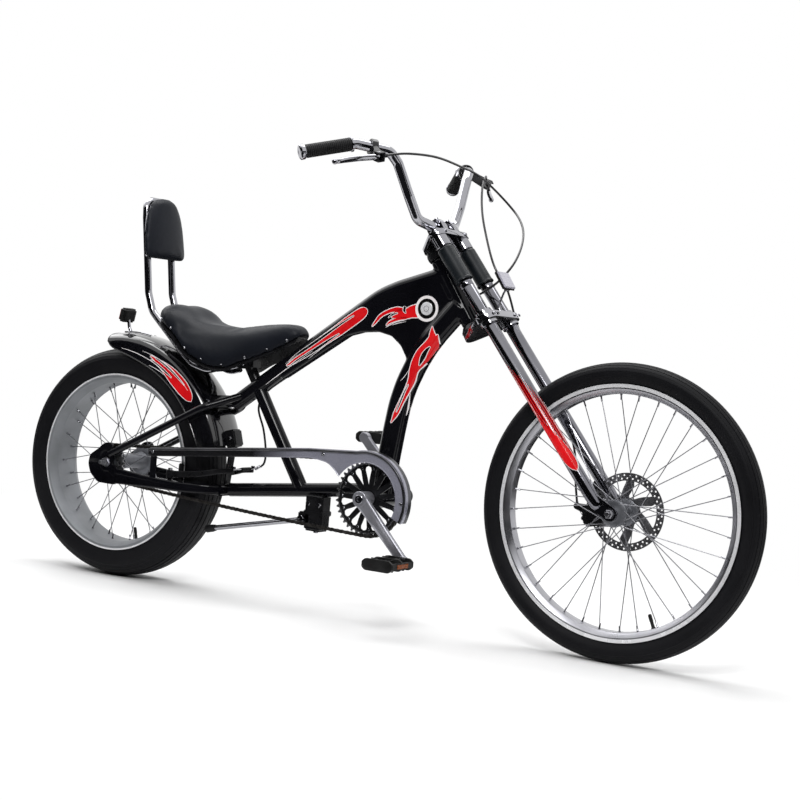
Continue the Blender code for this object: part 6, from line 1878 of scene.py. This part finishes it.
# %% Stand
stand_block = joined(block((547, -4, 215), (46, 40, 82), 5, segments=3),
                     block((524, -14, 200), (32, 20, 30), 3),
                     block((547, -4, 214), (49, 42, 12), 2))
piece("kickstand_bracket_casting", stand_block, BLACK_STEEL, "frame", ["kickstand_bracket"])
copies_at("kickstand_bolts", hex_head(12, 5),
          [((535, -24, 236), (0, -1, 0)), ((562, -24, 234), (0, -1, 0)),
           ((547, -4, 174.2), (0, 0, -1))], CHROME, "frame")
pivot_way = Vector((0.10, 0.987, -0.125)).normalized()
fore = (Vector((1, 0, 0)) - pivot_way * pivot_way.x).normalized()
STAND_AT = Matrix.Translation((524, -31.7, 198)) @ Matrix(
    (fore, pivot_way, fore.cross(pivot_way))).transposed().to_4x4()
stand_path = bent_path([(0, 0, 0), (-30, 0, -6), (-238, 0, -47), (-266, 0, -53)], 30, 8)
leg = joined(pipe(stand_path, 6.2, 24), rod((0, -6, 0), (0, 6, 0), 9.5), rod((0, 5, 0), (0, 21, 0), 4))
piece("kickstand_leg_rod", leg, CHROME, "kickstand", ["kickstand_leg"], STAND_AT)
foot = pipe([(-243, 0, -48), (-252, 0, -50), (-268, 0, -53.4), (-271, 0, -54)], 8, 24,
            [7.2, 8.6, 8.9, 6.5])
piece("kickstand_foot", foot, RUBBER, "kickstand", matrix=STAND_AT)

# %% [markdown]
# Each rear brake arm turns on an upright post on the chain stay, runs forward beside the tyre and bends
# inwards in front of it. Stacked plates would show flat sides, so it is a loft of rounded sections along
# a smooth line, as a forging is. A wire with a bellows joins the two arms.

# %% Rear brake arms
def brake_arm(side):
    rings = []
    for spot in curve_through([(-9, 0, 0), (12, 0, 1), (70, -1, 7), (104, -5, 14), (128, -17, 20),
                               (160, -24, 24)], 5):
        wide = 3.5 + 0.5 * max(0, spot.x - 104) / 56
        tall = 8 - 2 * max(0, spot.x) / 160
        rings.append(bar_section((spot.x, spot.y * side, spot.z), wide, tall, sides=3))
    boss = rod((0, 0, -9.5), (0, 0, 9), 8.5)
    shoe = block((26, side * -6.4, 4), (12, 8, 46), 2)
    return joined(loft(rings), boss), shoe


for word, side in SIDES:
    post = Matrix.Translation((176, side * 62, 261))
    arm, shoe = brake_arm(side)
    piece(f"rear_brake_arm_{word}_forging", arm, BLACK_STEEL, f"rear_brake_arm_{word}",
          [f"rear_brake_arm_{word}"], post)
    piece(f"rear_brake_pad_{word}", shoe, RUBBER, f"rear_brake_arm_{word}", matrix=post)
    piece(f"rear_brake_nut_{word}", hex_head(11, 4.5), CHROME, "frame",
          matrix=post @ Matrix.Translation((0, 0, 9.4)))
    copies_at(f"rear_brake_{word}_pinch_bolt", hex_head(10, 5), [((336, side * 38, 290), (0, 0, 1))],
              CHROME, f"rear_brake_arm_{word}")
wire = pipe([(339, y, 288) for y in (40, 20, 0, -20, -44)], 0.9, 8)
ribs = [(2.2, -17)]
for i in range(9):
    ribs += [(reach, y + i * 3.6) for reach, y in ((4.6, -16), (4.6, -15), (2.9, -14), (2.9, -13.2))]
bellows = turned([(0, -17.2)] + ribs + [(2.2, 17), (0, 17.2)], 20, "Y")
piece("rear_brake_wire", wire, CHROME, "frame")
piece("rear_brake_wire_bellows", moved(bellows, (339, 8, 288)), RUBBER, "frame")
print("drive and stand done,", len(MADE), "pieces so far")

# %% [markdown]
# ## Flames and stripes
# The decals could be a picture on a UV map. They are drawn as thin films instead, so they stay crisp at
# any size: each stripe is a line with a half width that swells and tapers. A film is laid on whatever is
# below it: a ray finds the frame's skin, and the fork leg and the mudguard have rules for their surface.
# White goes down first, a little wider than the red, and black slits go on top.

# %% Laying a stripe on a surface
INK = {"red": RED_INK, "white": WHITE_INK, "black": BLACK_INK}
LIFT = {"white": 0.30, "red": 0.46, "black": 0.64, "line": 0.76}


def stripe(marks, lay, lift, grow=0.0, columns=0):
    """A film along the marks (u, v, half width) whose points come from lay(u, v, lift)."""
    columns = columns or 2 * max(2, math.ceil(max(mark[2] for mark in marks) / 1.6))
    line = curve_through(marks, 8)
    thin = [line[0]]
    for spot in line[1:]:
        if (spot.xy - thin[-1].xy).length > 1.5:
            thin.append(spot)
    if thin[-1] != line[-1]:
        thin.append(line[-1])
    if grow:
        first = (thin[0].xy - thin[1].xy).normalized() * grow
        last = (thin[-1].xy - thin[-2].xy).normalized() * grow
        thin = ([Vector((*(thin[0].xy + first), 0.05))] + thin
                + [Vector((*(thin[-1].xy + last), 0.05))])
    bm = bmesh.new()
    rows = []
    for i, spot in enumerate(thin):
        way = (thin[min(i + 1, len(thin) - 1)].xy - thin[max(i - 1, 0)].xy).normalized()
        across = Vector((-way.y, way.x))
        wide = max(spot.z, 0.05) + (grow if 0 < i < len(thin) - 1 else 0)
        row = []
        for k in range(columns + 1):
            point = lay(*(spot.xy + across * wide * (2 * k / columns - 1)), lift)
            row.append(None if point is None else bm.verts.new(point))
        rows.append(row)
    for low, high in zip(rows, rows[1:]):
        for k in range(columns):
            corners = (low[k], low[k + 1], high[k + 1], high[k])
            if None not in corners:
                bm.faces.new(corners)
    return bm


FILMS = {}


def film(group, ink, bm, side):
    """Keeps a stripe for its group, turned to face outwards."""
    FILMS.setdefault((group, ink), []).append((bm, side))


def flame(group, marks, lay, side):
    film(group, "white", stripe(marks, lay, LIFT["white"], grow=1.7), side)
    film(group, "red", stripe(marks, lay, LIFT["red"]), side)


def slit(group, marks, lay, side):
    film(group, "white", stripe(marks, lay, LIFT["red"] + 0.06, grow=1.2), side)
    film(group, "black", stripe(marks, lay, LIFT["black"]), side)


def thread(group, points, lay, side):
    marks = [(u, v, 0.75) for u, v in points]
    marks[0] = (*points[0], 0.3)
    marks[-1] = (*points[-1], 0.3)
    film(group, "white", stripe(marks, lay, LIFT["line"], columns=2), side)


# %% [markdown]
# The marks on the frame are written as they are seen from the side, as places along and up the
# bicycle with half a width. A ray from the side finds the skin of the tubes and the tank under each
# place, so a stripe runs on from the tank to a tube without a break.

# %% Decals on the frame
SKIN_TREE = tree_of(bpy.data.objects["frame_front_shell"].data)


def on_frame(side):
    def lay(x, z, lift):
        start = BIKE @ Vector((x, side * 90, z))
        hit = SKIN_TREE.ray_cast(start, Vector((0, -side, 0)))
        if hit[0] is None:
            return None
        return BIKE.inverted() @ (hit[0] + hit[1] * lift / 1000)
    return lay


TEAR = [(638, 674, 2.5), (634, 670, 8), (623, 661, 11.6), (594, 640, 12.4), (563, 617, 11.4),
        (524, 590, 9.8), (489, 565, 7.6), (464, 547, 4.4), (443, 534, 0.6)]
FRAME_SLITS = [
    [(608, 657, 0.5), (576, 636, 1.5), (541, 611, 2.3), (506, 586, 2.8), (470, 561, 2.4),
     (449, 544, 0.6)],
    [(572, 615, 0.5), (542, 595, 2.3), (507, 571, 3.2), (471, 548, 2.4), (453, 536, 0.6)]]
FRAME_LINES = [[(568, 607), (533, 582), (498, 554)], [(507, 572), (461, 540), (421, 511), (389, 487)],
               [(470, 560), (440, 538)], [(735, 656), (713, 650), (696, 641), (689, 637)],
               [(738, 653), (718, 648), (705, 643)], [(761, 550), (753, 537), (743, 525)],
               [(762, 501), (758, 479), (753, 452)]]
TANK_FLAMES = [
    [(770, 679, 15.0), (751, 675, 12.4), (738, 670, 10.4), (724, 669, 9.8), (711, 665, 7.6),
     (703, 659, 0.8)],
    [(730, 678, 3.4), (712, 678, 4.2), (691, 671, 3.6), (674, 661, 3.3), (664, 649, 2.6),
     (655, 637, 0.5)],
    [(739, 661, 2.4), (718, 657, 2.6), (700, 650, 2.4), (690, 642, 0.5)]]
TANK_SLITS = [[(733, 685, 2.6), (732, 677, 2.8), (736, 671, 0.5)],
              [(716, 670, 0.4), (704, 666, 1.7), (694, 659, 0.5)]]
DOWN_FLAMES = [
    [(822, 631, 0.6), (819, 622, 3.8), (815, 610, 5.0), (808, 597, 3.8)],
    [(808, 647, 0.6), (810, 634, 5.4), (811, 621, 8.8), (804, 606, 11.4), (789, 586, 13.6),
     (778, 567, 11.6), (771, 551, 8.2), (766, 529, 5.8), (757, 505, 4.5), (746, 478, 4.2),
     (737, 454, 4.4), (728, 434, 0.5)]]
DOWN_SLITS = [[(805, 604, 0.5), (797, 594, 3.0), (789, 579, 3.8), (782, 562, 0.5)],
              [(760, 519, 0.3), (752, 500, 1.0), (744, 476, 1.0), (738, 458, 0.3)]]
for word, side in SIDES:
    lay = on_frame(side)
    for marks in [TEAR] + TANK_FLAMES + DOWN_FLAMES:
        flame("frame_decal", marks, lay, side)
    for marks in FRAME_SLITS + TANK_SLITS + DOWN_SLITS:
        slit("frame_decal", marks, lay, side)
    for points in FRAME_LINES:
        thread("frame_decal", points, lay, side)

# %% [markdown]
# The leg's teardrop wraps nearly half way round a tube, so its marks are millimetres round the leg and
# along it. The mudguard's marks are millimetres round the wheel and over the crown. Each rule turns the
# first of them into an angle only when the film is laid, so a stripe keeps its width as it turns.

# %% Decals on the fork legs and the mudguard
LEG_RADIUS = 14
GUARD_ARC = 4.9  # millimetres in one degree round the axle


def on_leg(side):
    """The near leg's stripe faces the photograph. The far one sits further round and is narrower."""
    turn = HEAD @ leg_matrix(side)
    centre, squeeze = (68.6, 1.0) if side < 0 else (104.0, 0.62)

    def lay(u, height, lift):
        angle = side * (math.radians(centre) - squeeze * u / LEG_RADIUS)
        reach = LEG_RADIUS + lift
        return turn @ Vector((reach * math.cos(angle), reach * math.sin(angle), height))
    return lay


def on_guard(side):
    return lambda u, over, lift: on_mudguard(u / GUARD_ARC, side * over, lift)


LEG_RED = [(2, -375, 0.8), (1.6, -367, 7.2), (0.4, -352, 12.0), (-2.6, -330, 13.6), (-6.4, -300, 11),
           (-10.2, -270, 7.4), (-13, -240, 4.2), (-15.4, -205, 0.6)]
for word, side in SIDES:
    lay = on_leg(side)
    film("fork_decal", "white", stripe(LEG_RED, lay, LIFT["white"], grow=1.3, columns=16), side)
    film("fork_decal", "red", stripe(LEG_RED, lay, LIFT["red"], columns=14), side)
    for k in range(8):
        u = -15.5 + 4.4 * k
        bottom = -252 - 13 * k
        crest = -98 - 15 * k
        for ink, shift, wide in (("red", 0.0, 1.1), ("black" if k % 3 else "white", 2.0, 0.62)):
            marks = [(u + shift + 0.6, bottom, 0.2), (u + shift + 0.3, bottom + 30, wide),
                     (u + shift - 0.3, crest - 50, wide * 0.8), (u + shift - 0.8, crest, 0.15)]
            film("fork_decal", ink, stripe(marks, lay, LIFT["line"], columns=2), side)
    rim = [(2, -377.5), (10.5, -366), (15.5, -348), (17.6, -320), (18.2, -260), (17.4, -216)]
    film("fork_decal", "white", stripe([(u, h, 0.8) for u, h in rim], lay, LIFT["line"] + 0.1,
                                       columns=2), side)

    lay = on_guard(side)
    flame("mudguard_decal", [(180, 80, 1.0), (187, 80, 7.5), (197, 80.5, 11.5), (220, 82, 15.5),
                             (250, 83, 15.5), (276, 82.5, 13), (300, 82, 9), (322, 81, 4.5),
                             (345, 79, 0.6)], lay, side)
    for marks in ([(222, 74, 0.4), (250, 75.5, 1.3), (290, 76, 2.2), (330, 77, 0.5)],
                  [(262, 88, 0.4), (290, 88.5, 2.0), (320, 87.5, 1.6), (340, 86, 0.5)]):
        slit("mudguard_decal", marks, lay, side)
    for points in ([(436, 83), (397, 86), (360, 88), (323, 89), (280, 90.5)],
                   [(372, 77), (333, 75), (289, 74.5), (245, 74), (206, 74)],
                   [(338, 100), (309, 97.5), (277, 95.5)]):
        thread("mudguard_decal", points, lay, side)

for (group, ink), films in FILMS.items():
    for bm, side in films:
        bmesh.ops.remove_doubles(bm, verts=bm.verts, dist=0.0005)
        bm.normal_update()
        total = sum((face.normal * face.calc_area() for face in bm.faces), Vector())
        out = Vector((0.3, side, 0.3)) if group != "frame_decal" else Vector((0, side, 0))
        if total.dot(out) < 0:
            bmesh.ops.reverse_faces(bm, faces=bm.faces[:])
    body = "steering" if group == "fork_decal" else "frame"
    piece(f"{group}_{ink}", joined(*(bm for bm, side in films)), INK[ink], body, sharp=80)

# %% [markdown]
# The round badge on the tank is plain rings without any mark: a white ring, a black ring and a bright
# stepped middle, each spun round the same axis.

# %% Badges on the tank
BADGE = [("white_ring", WHITE_INK, [(21.6, -1), (28.0, -1), (28.0, 0.9), (27.2, 1.5), (22.2, 1.5),
                                    (21.6, 0.9)]),
         ("black_ring", BLACK_INK, [(13.6, -1), (22.0, -1), (22.0, 1.0), (13.6, 1.0)]),
         ("middle", PALE_METAL_AND_PAINTED_HIGHLIGHT, [(14.2, -1), (14.2, 1.9), (13.2, 2.5), (10.4, 2.5), (9.6, 1.6),
                                  (7.4, 1.6), (6.6, 2.6), (4.6, 3.0), (0, 3.2)]),
         ("groove", BLACK_INK, [(4.4, 1.6), (6.4, 1.6), (6.4, 2.8), (4.4, 2.8)])]
for word, side in SIDES:
    seat = on_frame(side)(787, 684, 0.0)
    place = Matrix.Translation(seat) @ Matrix.Rotation(-side * math.pi / 2, 4, "X")
    for name, finish, profile in BADGE:
        piece(f"badge_{word}_{name}", turned(profile, 64, "Z", closed=name != "middle"), finish, "frame",
              matrix=place)

# %% [markdown]
# ## Studio
# A pale floor and soft lights, as in a catalogue photograph. Gloss and chrome show their surroundings,
# so the room matters as much as the lamps. The world is white to the camera and to reflections, large
# dark cards stand out of sight where the photographer's side of the room was dark, and the floor fades
# to white beyond the bicycle's shadow.

# %% Floor, world, cards and lamps
def plane(name, corners, finish, seen=True, lights=True):
    mesh = bpy.data.meshes.new(name)
    mesh.from_pydata(corners, [], [(0, 1, 2, 3)])
    mesh.materials.append(finish)
    obj = added(name, mesh)
    obj.visible_camera = seen
    obj.visible_diffuse = lights
    obj.visible_shadow = lights


def floor_finish():
    """Pale paper that holds the shadow near the bicycle and turns plain white further out."""
    finish, bench, shader, spot = new_finish("studio_floor_paper", 0.0, specular=0.1)
    speck = noise(bench, spot, 3, 4)
    bench.feed(shader, Base_Color=colour_mix(bench, speck, (0.90, 0.90, 0.90), (0.93, 0.93, 0.93)),
               Roughness=0.8 + speck * 0.1)
    x, y, z = bench.split(spot)
    x = x * 0.75
    away = x * x + y * y
    far = away.sum("SQRT", away).over(1.25, 1.1)
    glow = bench.node("ShaderNodeEmission", Color=(1, 1, 1, 1), Strength=1.0)
    mix = bench.feed_rows(bench.node("ShaderNodeMixShader"), (0, far * bench.white_rays()),
                          (1, bench.out(shader)), (2, bench.out(glow)))
    bench.feed(bench.tree.nodes["Material Output"], Surface=bench.out(mix))
    return finish


DARK_CARD = plain_finish("dark_studio_card", (0.010, 0.010, 0.011), (0.016, 0.016, 0.018), (0.8, 0.9),
                         blotch=1.0, grain=20, specular=0.0)
plane("studio_floor", [(-30, -30, -0.0005), (30, -30, -0.0005), (30, 30, -0.0005),
                       (-30, 30, -0.0005)], floor_finish())
for name, (x0, y0), (x1, y1), top in (("card_behind_camera", (-5, -4.4), (6, -4.4), 3.4),
                                      ("card_front_right", (4.6, -4.4), (4.6, 1.2), 2.2),
                                      ("card_rear_left", (-4.6, -4.4), (-4.6, 0.5), 2.2)):
    plane(name, [(x0, y0, 0.02), (x1, y1, 0.02), (x1, y1, top), (x0, y0, top)], DARK_CARD, False)
for name, near, far in (("card_on_near_floor", -4.4, -0.45), ("card_on_far_floor", 0.6, 4.4)):
    plane(name, [(-3.5, near, 0.012), (5, near, 0.012), (5, far, 0.012), (-3.5, far, 0.012)],
          DARK_CARD, False, False)

world = bpy.data.worlds.new("studio_world")
world.use_nodes = True
bpy.context.scene.world = world
bench = Bench(world.node_tree)
bench.feed(world.node_tree.nodes["Background"], Color=(1, 1, 1, 1),
           Strength=0.65 + 0.35 * bench.white_rays())


def soft_lamp(name, place, aim, size, watts):
    data = bpy.data.lights.new(name, "AREA")
    data.shape = "RECTANGLE"
    data.size = size[0]
    data.size_y = size[1]
    data.energy = watts
    lamp = added(name, data)
    lamp.location = place
    lamp.rotation_euler = (Vector(aim) - Vector(place)).to_track_quat("-Z", "Y").to_euler()


soft_lamp("key_lamp", (1.4, -2.8, 2.9), (0, 0, 0.4), (1.4, 0.9), 60)
soft_lamp("top_lamp", (-0.4, 0.4, 3.2), (0, 0, 0.4), (3.0, 1.4), 60)
soft_lamp("rear_top_lamp", (-3.0, 0.6, 3.0), (-0.5, 0, 0.6), (2.8, 2.2), 45)
bpy.context.scene.view_settings.view_transform = "Standard"

# %% [markdown]
# Last, the count of pieces and of their faces is printed.

# %% Finish
print(len(MADE), "pieces,", sum(MADE.values()), "faces")
